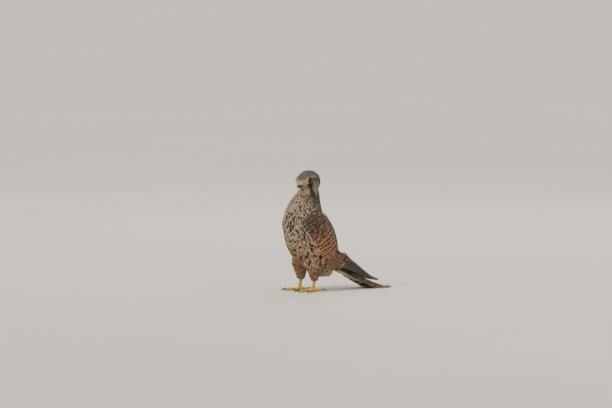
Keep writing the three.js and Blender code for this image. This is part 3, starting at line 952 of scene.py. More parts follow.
    @staticmethod
    def flow(places: Array) -> Array:
        """Which way feathers lie at some places, before they are laid on the surface.

        Args:
            places: The places.

        Returns:
            One direction for each.
        """
        z = places[:, 2]
        tilt = np.radians(np.interp(-z, -TRUNK[:, 1], TRUNK[:, 2]))
        body = np.stack([np.zeros_like(z), np.sin(tilt), -np.cos(tilt)], 1)
        q = to_head(places)
        spread = unit(q - BILL_FROM)
        lean = np.stack([np.zeros_like(z), 0.5 * np.ones_like(z), -0.9 * ease(-8, 16, q[:, 1])], 1)
        down = ease(-6, -14, q[:, 2])[:, None] * np.array([0.0, 0.1, -0.8])
        over = turned(unit(spread + lean + down), HEAD_TURN)
        leg = np.array([0.0, -0.05, -1.0])
        thigh = Markings.on_thigh(places)[:, None]
        lie = mix(mix(body, leg, thigh), over, ease(164, 178, z)[:, None])
        return unit(lie)


# Feathers


@dataclass
class Vanes:
    """Feathers gathered for one piece.

    Attributes:
        blocks: Points, faces, maps and colours of each block of feathers.
        count: How many points they have.
    """

    blocks: list[tuple[Array, ...]] = field(default_factory=list)
    count: int = 0

    def add(self, points: Array, faces: Array, vane: Array, bake: Array,
            tints: tuple[Array, Array, Array]) -> None:
        """Adds feathers: points in millimetres, triangles, both maps of their corners, and colours."""
        self.blocks.append((points, faces + self.count, vane, bake, *tints))
        self.count += len(points)

    def build(self, name: str, ground: Ground, material: Material) -> Piece:
        """Makes the piece.

        Args:
            name: The piece's name.
            ground: Where the bird stands.
            material: Its finish.

        Returns:
            The piece.
        """
        points, faces, vane, bake, *tints = map(np.concatenate, zip(*self.blocks))
        piece = mesh_object(name, ground.out(points), faces)
        add_uv(piece, "OFBake", bake)
        add_uv(piece, "vane", vane)
        for tint, values in zip(("ground", "dark", "marks"), tints):
            add_tint(piece, tint, values)
        piece.data.materials.append(material)
        return piece


def skin_unwrap(places: Array) -> Array:
    """Place on the skin's unwrap: round the body from the throat, and up from the feet over the crown.

    Args:
        places: On the skin.

    Returns:
        Two shares for each place.
    """
    x, y, z = places.T
    axis_y = np.interp(-z, -TRUNK[:, 1], TRUNK[:, 0])
    angle = np.arctan2(x, -(y - axis_y)) / (2 * math.pi) + 0.5
    top = HEAD_AT[2]
    level = np.sqrt(x * x + (y - HEAD_AT[1]) ** 2)
    over = np.arctan2(np.maximum(z - top, 0), level + 1e-6) / (math.pi / 2)
    height = np.where(z < top, 0.84 * np.clip(z / top, 0, 1), 0.84 + 0.16 * over)
    return np.stack([0.02 + 0.9 * angle, 0.02 + 0.96 * height], 1)


@dataclass
class Cells:
    """Hands out one small cell of the unwrap to each tuft, as near as it can to the tuft's root.

    Attributes:
        size: Width of a cell.
    """

    size: float = 0.0031
    taken: set[tuple[int, int]] = field(default_factory=set)

    def place(self, wanted: Array) -> Array:
        """The low corner of a free cell for each wanted place.

        Args:
            wanted: Where each tuft's root is.

        Returns:
            One corner for each.
        """
        most = int(1 / self.size) - 1
        corners = np.empty_like(wanted)
        for row, (u, v) in enumerate(wanted):
            i, j = int(u / self.size), int(v / self.size)
            for ring in range(60):
                free = [(a, b) for a in range(i - ring, i + ring + 1) for b in range(j - ring, j + ring + 1)
                        if max(abs(a - i), abs(b - j)) == ring and 0 <= a <= most and 0 <= b <= most
                        and (a, b) not in self.taken]
                if free:
                    self.taken.add(free[0])
                    corners[row] = (free[0][0] * self.size, free[0][1] * self.size)
                    break
        return corners


@dataclass
class Surface:
    """The skin as triangles, for placing and laying feathers.

    Attributes:
        points: Vertices in millimetres of the bird.
        faces: Triangles.
        tries: How many places are tried as roots.
        bands: Ranges of spacing, each of which is thinned out by itself.
    """

    points: Array
    faces: Array
    tries: int = 190000
    bands: tuple[Pair, ...] = ((0, 1.12), (1.12, 1.6), (1.6, 2.2), (2.2, 9))

    def __post_init__(self) -> None:
        """Builds the search tree and the areas."""
        self.tree = search_tree(self.points, self.faces)
        a, b, c = (self.points[self.faces[:, k]] for k in range(3))
        cross = np.cross(b - a, c - a)
        self.areas = np.linalg.norm(cross, axis=1) / 2

    def scatter(self, spacing: Rule, keep: Rule,
                rng: Chance) -> Array:
        """Roots spread evenly over the surface.

        Args:
            spacing: Least distance between roots at given places.
            keep: Which places may carry a root.
            rng: Source of chance.

        Returns:
            The roots.
        """
        chosen = rng.choice(len(self.faces), size=self.tries, p=self.areas / self.areas.sum())
        r1, r2 = np.sqrt(rng.random(len(chosen))), rng.random(len(chosen))
        a, b, c = (self.points[self.faces[chosen, k]] for k in range(3))
        spots = a * (1 - r1)[:, None] + b * (r1 * (1 - r2))[:, None] + c * (r1 * r2)[:, None]
        spots = spots[keep(spots)]
        gaps = spacing(spots)
        kept = []
        for low, high in self.bands:
            band = (gaps >= low) & (gaps < high)
            if not band.any():
                continue
            cell = float(gaps[band].max())
            grid: dict[tuple[int, ...], list[Array]] = {}
            for place, gap in zip(spots[band], gaps[band]):
                key = tuple(int(k) for k in place // cell)
                beside = (other - place for step in AROUND
                          for other in grid.get((key[0] + step[0], key[1] + step[1], key[2] + step[2]), ()))
                if not any(d[0] * d[0] + d[1] * d[1] + d[2] * d[2] < gap * gap for d in beside):
                    grid.setdefault(key, []).append(place)
                    kept.append(place)
        return np.array(kept)

    def lay(self, roots: Array, lie: Array, lengths: Array, stations: Array) -> tuple[Array, Array, Array]:
        """Walks each feather's shaft along the surface.

        Args:
            roots: Where the feathers grow.
            lie: Which way each points.
            lengths: Their lengths.
            stations: Shares of the length at which the shaft is wanted, from 0.

        Returns:
            Places, outward directions and ways along the shaft at each station.
        """
        count, steps = len(roots), len(stations)
        places = np.empty((count, steps, 3))
        outs = np.empty((count, steps, 3))
        ways = np.empty((count, steps, 3))
        for i in range(count):
            spot, normal, _, _ = self.tree.find_nearest(Vector(roots[i]))
            way = Vector(lie[i])
            for k in range(steps):
                if k:
                    step = float(lengths[i] * (stations[k] - stations[k - 1]))
                    spot, normal, _, _ = self.tree.find_nearest(spot + way * step)
                way = (way - normal * way.dot(normal)).normalized()
                places[i, k], outs[i, k], ways[i, k] = spot, normal, way
        outs[:, 1:] = unit(outs[:, 1:] + outs[:, :-1])
        return places, outs, ways


@dataclass
class Coat:
    """The body feathers, laid over the skin.

    Attributes:
        stations: Shares of a feather's length at which it has a row of points.
        widths: Width of each row, as a share of the widest.
        rise: Height of each row, as a share of the tip's.
        columns: Places of the points across the vane, from -1 to 1.
        ends: Share of the length that each column reaches.
        barbs: Where the loose barbs at the end of a vane stand across it.
        thick: Thickness of a vane.
        most: Most triangles in one piece.
    """

    ground: Ground
    surface: Surface
    markings: Markings
    keep: Rule
    border: Rule
    stations: tuple[float, ...] = (0.0, 0.4, 0.76, 1.0)
    widths: tuple[float, ...] = (0.3, 0.95, 0.92, 0.42)
    rise: tuple[float, ...] = (-0.5, 0.45, 0.84, 0.86)
    columns: tuple[float, ...] = (-1.0, -0.5, 0.0, 0.5, 1.0)
    ends: tuple[float, ...] = (0.84, 0.95, 0.93, 0.97, 0.82)
    barbs: tuple[float, ...] = (-0.85, -0.62, -0.38, -0.13, 0.12, 0.37, 0.61, 0.84)
    thick: float = 0.1
    most: int = 190000
    head_from: float = 151.0

    def build(self, material: Material) -> list[Piece]:
        """Places every body feather and makes the pieces.

        Args:
            material: The finish.

        Returns:
            The pieces.
        """
        rng = np.random.default_rng(SEED)
        roots = self.surface.scatter(self.markings.spacing, self.keep, rng)
        roots = roots[np.argsort(-roots[:, 2])]
        lie = self.markings.flow(roots)
        look = self.markings.at(roots, rng)
        look.marks[:, :2] *= self.markings.chosen(roots, lie, rng)[:, None]
        near = 1 - ease(1.5, 8.0, self.border(roots))
        look.lift += 3.0 * near
        look.length += 3.5 * near
        stations = np.array(self.stations)
        places, outs, ways = self.surface.lay(roots, lie, look.length, stations)
        sides = np.cross(outs, ways)
        swing = rng.normal(0, 0.1, len(roots))
        places = places + sides * (swing[:, None] * look.length[:, None] * stations)[..., None]
        height = look.lift[:, None] * np.array(self.rise) * (1 + 0.2 * rng.standard_normal((len(roots), 1)))
        spine = places + outs * height[..., None]
        points = self.vanes(spine, sides, outs, look, rng)
        cut = int((roots[:, 2] > self.head_from).sum())
        return (self.pieces("head_feathers", slice(0, cut), points, look, material)
                + self.pieces("breast_feathers", slice(cut, len(roots)), points, look, material))

    def vanes(self, spine: Array, sides: Array, outs: Array, look: Look, rng: Chance) -> Array:
        """Spreads each shaft into a thin closed vane with a ragged end.

        Args:
            spine: Places along each shaft.
            sides: Directions across it.
            outs: Directions away from the skin.
            look: Sizes of the feathers.
            rng: Source of the ragged edge.

        Returns:
            The points of each vane: the upper grid, then the inner points of the lower one.
        """
        count, rows = spine.shape[:2]
        across = np.array(self.columns)
        wide = look.half[:, None, None] * np.array(self.widths)[None, :, None] * across
        wide = wide * (1 + 0.13 * rng.standard_normal(wide.shape) * (np.abs(across) > 0.9))
        tilt = rng.normal(0, 0.06, count)[:, None, None]
        sink = -0.07 * look.half[:, None, None] * across ** 2 + tilt * wide
        grid = spine[:, :, None] + sides[:, :, None] * wide[..., None] + outs[:, :, None] * sink[..., None]
        ends = np.array(self.ends)
        ends = np.where(rng.random(count)[:, None] < 0.5, ends[::-1], ends)
        ends = ends + rng.normal(0, 0.035, ends.shape)
        share = (ends - self.stations[-2]) / (1 - self.stations[-2])
        grid[:, -1] = mix(grid[:, -2], grid[:, -1], share[..., None])
        low = grid[:, 1:-1, 1:-1] - outs[:, 1:-1, None] * self.thick
        loose = self.loose(grid, sides, outs, look, rng)
        return np.concatenate([grid.reshape(count, -1, 3), low.reshape(count, -1, 3), loose], 1)

    def loose(self, grid: Array, sides: Array, outs: Array, look: Look, rng: Chance) -> Array:
        """Barbs that part from the end of each vane, as thin three-sided spikes of seven points.

        Args:
            grid: Points of the vanes.
            sides: Directions across each shaft.
            outs: Directions away from the skin.
            look: Sizes of the feathers.
            rng: Source of their differences.

        Returns:
            The barbs' points, feather by feather.
        """
        count = len(grid)
        step = self.columns[1] - self.columns[0]
        spots = []
        for at in self.barbs:
            j = int((at + 1) / step)
            spots.append(mix(grid[:, :, j], grid[:, :, j + 1], (at + 1) / step - j))
        lines = np.stack(spots, 1)
        side, out = sides[:, -1, None], outs[:, -1, None]
        half, lift = look.half[:, None, None], look.lift[:, None, None]
        size = (count, len(self.barbs), 1)
        way = lines[:, :, -1] - lines[:, :, -2]
        splay = np.array(self.barbs)[None, :, None] * 0.2 + rng.normal(0, 0.09, size)
        tip = lines[:, :, -1] + way * (0.12 + 0.55 * rng.random(size)) + side * splay * half
        tip += out * lift * rng.normal(0.02, 0.1, size)
        middle = lines[:, :, -2] * 0.3 + lines[:, :, -1] * 0.7 + side * splay * half * 0.4 + out * 0.1
        base = lines[:, :, -2] - out * 0.03
        wide = half * 0.06 * (1 + 0.4 * rng.random(size))
        corners = []
        for spot, reach in ((base, wide), (middle, wide * 0.9)):
            corners += [spot - side * reach, spot + out * reach * 0.9, spot + side * reach]
        return np.stack([*corners, tip], 2).reshape(count, -1, 3)

    def pattern(self) -> tuple[Array, Array]:
        """Triangles of one vane, and the place of each of its points across and along it.

        Returns:
            The triangles, and one place for each point.
        """
        rows, columns = len(self.stations), len(self.columns)
        top = np.arange(rows * columns).reshape(rows, columns)
        under = top.copy()
        inner = (rows - 2) * (columns - 2)
        under[1:-1, 1:-1] = rows * columns + np.arange(inner).reshape(rows - 2, columns - 2)
        sheets = []
        for grid, turn in ((top, -1), (under, 1)):
            a, b, c, d = grid[:-1, :-1], grid[:-1, 1:], grid[1:, 1:], grid[1:, :-1]
            pairs = np.stack([a, b, c, a, c, d], -1).reshape(-1, 3)
            sheets.append(pairs[:, ::turn])
        across = (np.array(self.columns) + 1) / 2
        uv = np.stack(np.meshgrid(across, np.array(self.stations)), -1)
        uv[-1, :, 1] = self.ends
        places = [uv.reshape(-1, 2), uv[1:-1, 1:-1].reshape(-1, 2)]
        spike = np.array([[0, 1, 2], [0, 3, 4], [0, 4, 1], [1, 4, 5], [1, 5, 2], [2, 5, 3], [2, 3, 0],
                          [3, 6, 4], [4, 6, 5], [5, 6, 3]])
        first = rows * columns + inner
        for k, at in enumerate(self.barbs):
            sheets.append(spike + first + 7 * k)
            places.append(np.array([[(at + 1) / 2, v] for v in (0.76, 0.76, 0.76, 0.9, 0.9, 0.9, 0.98)]))
        return np.concatenate(sheets), np.concatenate(places)

    def pieces(self, slot: str, part: slice, points: Array, look: Look,
               material: Material) -> list[Piece]:
        """Cuts the feathers of one part into pieces of a fair size and makes them.

        Args:
            slot: The part's name, which its pieces are named after.
            part: Which of the feathers it has.
            points: The points of all the feathers.
            look: Their colours and marks.
            material: Their finish.

        Returns:
            The pieces.
        """
        faces, uv = self.pattern()
        size = points.shape[1]
        each = self.most // len(faces)
        made = []
        for first in range(part.start, part.stop, each):
            block = slice(first, min(first + each, part.stop))
            some = block.stop - block.start
            numbers = (faces[None] + (np.arange(some) * size)[:, None, None]).reshape(-1, 3)
            vane = uv[faces.ravel()]
            corner = Cells().place(skin_unwrap(points[block, 2]))
            bake = corner[:, None, :] + 0.0003 + 0.0024 * vane[None]
            tints = tuple(np.repeat(t[block], size, axis=0) for t in (look.ground, look.dark, look.marks))
            vanes = Vanes()
            vanes.add(points[block].reshape(-1, 3), numbers, np.tile(vane, (some, 1)), bake.reshape(-1, 2),
                      tints)
            piece = vanes.build(f"{slot}_{len(made) + 1}", self.ground, material)
            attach(piece, "root")
            made.append(piece)
        return made


@dataclass
class Quill:
    """One large feather and its finish.

    Attributes:
        half: Half of its width.
        ground: Colour between the marks.
        dark: Colour of the marks.
        marks: Streak, spot, bars over 20 and fringe.
        under: Colour of the underside.
        shaft: Where the shaft lies across it, from -1 to 1.
        blunt: Share of the length over which the tip rounds off.
        root_width: Width at the root, as a share of the widest.
        columns: Places of the points across it, from -1 to 1.
        thick: Thickness at the shaft.
        steps: Count of rings along it.
        phase: Where its bars start.
    """

    half: float
    ground: Array
    dark: Array
    marks: Four
    under: Array | None = None
    shaft: float = 0.0
    blunt: float = 0.35
    root_width: float = 0.5
    columns: tuple[float, ...] = (-1.0, -0.72, -0.36, 0.0, 0.36, 0.72, 1.0)
    thick: float = 0.24
    steps: int = 16
    phase: float = 0.5

    def outline(self, share: Array) -> Array:
        """Half width at shares of the length.

        Args:
            share: Shares of the length.

        Returns:
            One width for each.
        """
        grow = mix(self.root_width, 1.0, ease(0.0, 0.4, share))
        end = np.clip((share - (1 - self.blunt)) / self.blunt, 0, 1)
        return self.half * grow * np.sqrt(np.maximum(1 - end ** 2.4, 0.002))

    def shares(self) -> Array:
        """Shares of the length that have a ring, closer towards the tip."""
        u = np.linspace(0, 1, self.steps)
        return 1 - (1 - u) ** 1.5

    def section(self, share: Array, rng: Chance) -> tuple[Array, Array, Array]:
        """Across and height of each ring's corners, and which of them are on the underside.

        Args:
            share: Shares of the length.
            rng: Source of the ragged edge.

        Returns:
            Across and height in millimetres, one row a ring, and a mask of the underside.
        """
        columns = np.array(self.columns)
        inner = columns[1:-1][::-1]
        ring = np.concatenate([columns, inner])
        under = np.concatenate([np.zeros(len(columns), bool), np.ones(len(inner), bool)])
        wide = self.outline(share)[:, None]
        ragged = 1 + 0.035 * rng.standard_normal((len(share), len(ring))) * (np.abs(ring) > 0.99)
        across = ring * wide * ragged + self.shaft * self.half
        crest = np.exp(-((ring / 0.12) ** 2)) * 0.22
        height = np.where(under, -self.thick * (1 - ring ** 2), 0.06) + np.where(under, 0.0, crest)
        return across, height - 0.012 * across ** 2 / max(self.half / 6, 0.5), under

    def add_to(self, vanes: Vanes, rings: Array, under: Array, cell: Triple) -> None:
        """Adds the finished rings to a piece.

        Args:
            vanes: The piece.
            rings: Corners of each ring in millimetres of the bird.
            under: Which corners are on the underside.
            cell: Low corner and width of the feather's share of the unwrap.
        """
        steps, sides = rings.shape[:2]
        faces = outward(rings.reshape(-1, 3), ring_faces(steps, sides))
        columns = np.array(self.columns)
        across = (np.concatenate([columns, columns[1:-1][::-1]]) + 1) / 2
        u = np.tile(across, steps)[faces]
        v = np.repeat(self.shares(), sides)[faces]
        below = np.tile(under, steps)[faces].any(1)[:, None]
        x0, y0, size = cell
        bake_u = x0 + size * np.where(below, 0.52 + 0.46 * u, 0.02 + 0.46 * u)
        bake_v = y0 + size * (0.02 + 0.96 * v)
        count = steps * sides
        below_ground = self.ground if self.under is None else self.under
        shade = np.where(np.tile(under, steps)[:, None], below_ground, self.ground)
        dark = np.tile(np.append(self.dark, self.phase), (count, 1))
        tints = (shade, dark, np.tile(np.array(self.marks), (count, 1)))
        vane = np.stack([u, v], -1).reshape(-1, 2)
        vanes.add(rings.reshape(-1, 3), faces, vane, np.stack([bake_u, bake_v], -1).reshape(-1, 2), tints)


def cell_of(index: int, count: int) -> Triple:
    """Low corner and width of one of count equal cells of the unwrap."""
    rows = math.ceil(math.sqrt(count))
    return (index % rows) / rows, (index // rows) / rows, 1 / rows


# Wing


@dataclass
class WingFace:
    """The outer face of the left folded wing, s from wrist to tip and t from the lower to the upper edge.

    Attributes:
        grid_s: Points of its grid along s.
        grid_t: Points of its grid along t.
    """

    grid_s: int = 97
    grid_t: int = 33

    def __post_init__(self) -> None:
        """Works the face out on a fine grid."""
        s, t = np.meshgrid(np.linspace(0, 1, self.grid_s), np.linspace(0, 1, self.grid_t), indexing="ij")
        rows = len(WING_LOW) - 1
        chord = mix(rows_at(WING_LOW, s * rows), rows_at(WING_HIGH, s * rows), t[..., None])
        swell = 4 * t * (1 - t)
        lift = mix(1.6, 3.6, t) + 3.2 * swell * ease(0, 0.15, s)
        rise = mix(5, 1, ease(0.6, 1, s)) * swell
        free = chord + np.array([0.62, 0.12, 0.77]) * rise[..., None]
        laid = self.on_trunk(chord.reshape(-1, 3), lift.ravel()).reshape(chord.shape)
        self.at_grid = mix(laid, free, ease(0.4, 0.64, s)[..., None])
        run = unit(np.gradient(self.at_grid, axis=0))
        span = unit(np.gradient(self.at_grid, axis=1))
        out = unit(np.cross(span, run))
        out = np.where((out[..., 0] + out[..., 2] < 0)[..., None], -out, out)
        self.frames = np.stack([self.at_grid, run, span, out], -2)

    @staticmethod
    def on_trunk(places: Array, lift: Array) -> Array:
        """Places moved to the trunk's surface and raised off it.

        Args:
            places: The places.
            lift: Height over the trunk.

        Returns:
            The places, moved.
        """
        rows = rows_at(TRUNK, np.arange(0, len(TRUNK) - 1, 0.02))
        lean = np.radians(rows[:, 2])
        dy = places[:, 1, None] - rows[:, 0]
        dz = places[:, 2, None] - rows[:, 1]
        along = dy * np.sin(lean) - dz * np.cos(lean)
        back = dy * np.cos(lean) + dz * np.sin(lean)
        away = np.hypot(places[:, 0, None], back)
        crossing = (along[:, :-1] > 0) & (along[:, 1:] <= 0)
        best = np.where(crossing, away[:, 1:], np.inf).argmin(1) + 1
        pick = np.arange(len(places))
        row, tilt, n = rows[best], lean[best], back[pick, best]
        depth = np.where(n > 0, row[:, 4], row[:, 3])
        scale = 1 / np.hypot(places[:, 0] / row[:, 5], n / depth)
        x, n = places[:, 0] * scale, n * scale
        out = unit(np.stack([x / row[:, 5] ** 2, n / depth ** 2], -1)) * lift[:, None]
        reach = n + out[:, 1]
        y, z = row[:, 0] + reach * np.cos(tilt), row[:, 1] + reach * np.sin(tilt)
        return np.stack([x + out[:, 0], y, z], -1)

    def frame(self, s: Array, t: Array) -> tuple[Array, Array, Array, Array]:
        """Place, run, span and outward direction of the face.

        Args:
            s: From wrist to tip.
            t: From lower to upper edge.

        Returns:
            The four, for each s and t.
        """
        a = np.clip(np.asarray(s, float), 0, 1) * (self.grid_s - 1)
        b = np.clip(np.asarray(t, float), 0, 1) * (self.grid_t - 1)
        i = np.clip(np.floor(a).astype(int), 0, self.grid_s - 2)
        j = np.clip(np.floor(b).astype(int), 0, self.grid_t - 2)
        f, g = (a - i)[..., None, None], (b - j)[..., None, None]
        near = mix(self.frames[i, j], self.frames[i, j + 1], g)
        far = mix(self.frames[i + 1, j], self.frames[i + 1, j + 1], g)
        both = mix(near, far, f)
        return both[..., 0, :], unit(both[..., 1, :]), unit(both[..., 2, :]), unit(both[..., 3, :])


@dataclass(frozen=True)
class Tier:
    """A row of like wing feathers. A pair gives how a value runs from the lowest feather to the highest.

    Attributes:
        root_s: Places of the roots along the wing, and tip_s of the tips.
        root_t: Places of the roots across the wing, and tip_t of the tips.
        half: Half widths.
        high: Height over the face at the root, near the root and at the tip.
        ground: Colour between the marks, dark the marks' own, and under the underside's.
        marks: Streak, spot, bars over 20 and fringe.
        roof: How steeply each feather leans over the next.
        stack: How much higher each feather lies than the one before.
        jitter: How unevenly the tips end.
    """

    name: str
    count: int
    root_s: Pair
    tip_s: Pair
    root_t: Pair
    tip_t: Pair
    half: Pair
    high: Triple
    ground: Array
    dark: Array
    marks: Four
    under: Array | None = None
    roof: float = 0.17
    stack: float = 0.0
    blunt: float = 0.35
    steps: int = 12
    jitter: float = 0.004


RUFOUS = paint(184, 126, 74)
RUFOUS_PALE = paint(202, 152, 98)
SHOULDER = paint(72, 56, 48)
QUILL_BROWN = paint(78, 70, 68)
QUILL_UNDER = paint(150, 134, 116)
BAR = paint(38, 29, 26)
EDGE_PALE = paint(206, 186, 170)


def small_coverts(rows: int = 7, first: float = 0.045, step: float = 0.031) -> tuple[Tier, ...]:
    """The rows of small coverts from the wrist down, darkest at the wrist.

    Args:
        rows: How many rows.
        first: Where the first row's tips lie along the wing.
        step: Distance from one row's tips to the next.

    Returns:
        The rows, from the wrist down.
    """
    made = []
    for row in range(rows):
        tip, down = first + step * row, row / (rows - 1)
        root = max(0.0, tip - 0.1)
        made.append(Tier(
            f"lesser_{row + 1}", 16 - row % 2, (root, root), (tip, tip + 0.02), (0.05, 0.9), (0.055, 0.91),
            (mix(2.7, 3.6, down), mix(3.2, 4.0, down)), (-2.0, 1.2, 2.4),
            mix(SHOULDER, RUFOUS, 0.05 + 0.65 * down), BAR, (0.0, mix(0.92, 0.72, down), 0.0, 0.9), steps=9,
            blunt=0.55,
        ))
    return tuple(made)


TIERS: tuple[Tier, ...] = (
    Tier("primaries", 9, (0.5, 0.44), (0.995, 0.76), (0.12, 0.62), (0.42, 0.82), (4.6, 6.6),
         (-6.4, -6.6, -6.2), QUILL_BROWN, BAR, (0.0, 0.0, 0.0, 0.4), under=QUILL_UNDER, roof=0.04, stack=0.56,
         blunt=0.28, steps=22),
    Tier("secondaries", 9, (0.38, 0.36), (0.585, 0.69), (0.08, 0.86), (0.1, 0.92), (6.0, 7.4),
         (-3, 0.2, -2.4), mix(RUFOUS, QUILL_BROWN, 0.35), BAR, (0.0, 0.0, 0.42, 0.8), under=QUILL_UNDER,
         steps=18, stack=0.06, blunt=0.3),
    Tier("primary_coverts", 7, (0.2, 0.26), (0.37, 0.47), (0.02, 0.1), (0.01, 0.08), (3.2, 4.0),
         (-2, 0.2, 0.6), paint(92, 72, 60), BAR, (0.0, 0.0, 0.2, 0.6), steps=10),
    Tier("tertials", 4, (0.36, 0.34), (0.6, 0.69), (0.64, 0.93), (0.62, 0.92), (7.2, 7.8), (-2, 0.7, -1.9),
         RUFOUS, BAR, (0.0, 0.0, 0.4, 0.95), steps=18, stack=0.1, blunt=0.3),
    Tier("greater", 12, (0.26, 0.24), (0.41, 0.47), (0.06, 0.9), (0.07, 0.92), (4.8, 5.8), (-3, 1.2, 1.9),
         RUFOUS, BAR, (0.0, 0.0, 0.27, 0.8), steps=14, blunt=0.4),
    Tier("median_low", 12, (0.2, 0.18), (0.335, 0.375), (0.05, 0.9), (0.06, 0.92), (4.4, 5.4),
         (-2.6, 1.2, 2.1), RUFOUS, BAR, (0.0, 0.0, 0.22, 0.7), steps=11, blunt=0.45),
    Tier("median_top", 13, (0.15, 0.13), (0.275, 0.305), (0.05, 0.9), (0.06, 0.92), (4.2, 5.0),
         (-2.4, 1.2, 2.3), RUFOUS, BAR, (0.0, 0.0, 0.2, 0.65), steps=10, blunt=0.45),
    *small_coverts(),
    Tier("marginal", 14, (0.0, 0.19), (0.08, 0.3), (0.035, 0.03), (0.0, 0.0), (1.7, 1.5), (-0.6, 2.4, 2.6),
         EDGE_PALE, SHOULDER, (0.2, 0.0, 0.0, 0.5), steps=8, blunt=0.6),
    Tier("scapulars_low", 9, (0.1, 0.36), (0.24, 0.52), (0.91, 0.93), (0.92, 0.94), (5.8, 6.2),
         (-2, 2.0, 2.6), RUFOUS_PALE, BAR, (0.0, 0.0, 0.22, 0.8), steps=12, blunt=0.45),
    Tier("scapulars_top", 9, (0.0, 0.24), (0.11, 0.38), (0.97, 0.98), (0.97, 0.98), (5.2, 5.8),
         (-2, 2.0, 2.8), mix(RUFOUS, SHOULDER, 0.6), BAR, (0.0, 0.0, 0.18, 0.8), steps=11, blunt=0.5),
)


@dataclass
class Wing:
    """One folded wing with all its tiers of feathers."""

    side: Side
    face: WingFace
    ground: Ground
    tiers: tuple[Tier, ...] = TIERS
    arm_end: float = 0.5

    def arm(self) -> Piece:
        """The fleshy arm under the coverts, which the skin is drawn over.

        Returns:
            The arm.
        """
        s, t = np.meshgrid(np.linspace(0.01, self.arm_end, 22), np.linspace(0.03, 0.97, 12), indexing="ij")
        place, _, _, out = self.face.frame(s, t)
        top = place - 1.9 * out
        low = place - mix(9.0, 4.6, ease(0.3, 0.5, s))[..., None] * out
        rings = np.concatenate([top, low[:, ::-1]], 1)
        rings[..., 0] *= self.side.value
        return tube_object(f"arm_{self.side.word}", rings, self.ground)

    @staticmethod
    def sink(s: Array, t: Array) -> Array:
        """How much lower feathers lie near the wing's borders, where it is tucked into the body's plumage."""
        border = 2.2 * (1 - ease(0.0, 0.07, s)) + 1.7 * ease(0.84, 1.0, t) + 0.5 * (1 - ease(0.0, 0.08, t))
        return border * (1 - ease(0.36, 0.5, s))

    def build(self, material: Material) -> Piece:
        """Lays every tier and makes the wing's piece.

        Args:
            material: The finish.

        Returns:
            The piece.
        """
        rng = np.random.default_rng(SEED + self.side.value + 2)
        vanes = Vanes()
        total = sum(tier.count for tier in self.tiers)
        index = 0
        for tier in self.tiers:
            for i in range(tier.count):
                self.lay(vanes, tier, i, rng, cell_of(index, total))
                index += 1
        piece = vanes.build(f"wing_{self.side.word}_feathers", self.ground, material)
        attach(piece, "root")
        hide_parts(f"wing_{self.side.word}")
        return piece

    def lay(self, vanes: Vanes, tier: Tier, i: int, rng: Chance,
            cell: Triple) -> None:
        """Lays one feather of a tier.

        Args:
            vanes: The piece it goes into.
            tier: Its tier.
            i: Its number in the tier.
            rng: Source of its small differences.
            cell: Its share of the unwrap.
        """
        share = i / (tier.count - 1)
        tone = 1 + 0.08 * rng.standard_normal()
        quill = Quill(mix(*tier.half, share), tier.ground * tone, tier.dark, tier.marks, under=tier.under,
                      blunt=tier.blunt, steps=tier.steps, phase=rng.random())
        u = quill.shares()
        tip_s = mix(*tier.tip_s, share) + tier.jitter * rng.standard_normal()
        s = mix(mix(*tier.root_s, share), tip_s, u)
        t = mix(mix(*tier.root_t, share), mix(*tier.tip_t, share) + 0.008 * rng.standard_normal(), u)
        place, _, span, out = self.face.frame(s, t)
        high = np.interp(u, (0, 0.25, 1), tier.high) + i * tier.stack + 0.1 * rng.standard_normal()
        across, height, under = quill.section(u, rng)
        lifted = (high - self.sink(s, t))[:, None] + height - tier.roof * across
        rings = place[:, None] + span[:, None] * across[..., None] + out[:, None] * lifted[..., None]
        rings[..., 0] = np.maximum(rings[..., 0], 0.2) * self.side.value
        quill.add_to(vanes, rings, under, cell)


# Tail

# The fleshy root: distance along the tail, half width, and reach up and down.
TAIL_ROOT = np.array([
    [-6, 17, 8, 20], [12, 16.5, 7.5, 18.5], [28, 14, 6.4, 16.4], [38, 11.5, 4, 13.4], [48, 7, 1, 8],
], float)
TAIL_TOP = paint(140, 112, 86)
TAIL_UNDER = paint(176, 156, 126)
TAIL_BAR = paint(52, 42, 38)
RUMP = paint(128, 96, 70)
UNDERTAIL = paint(206, 182, 146)
UNDERTAIL_MARK = paint(120, 92, 66)


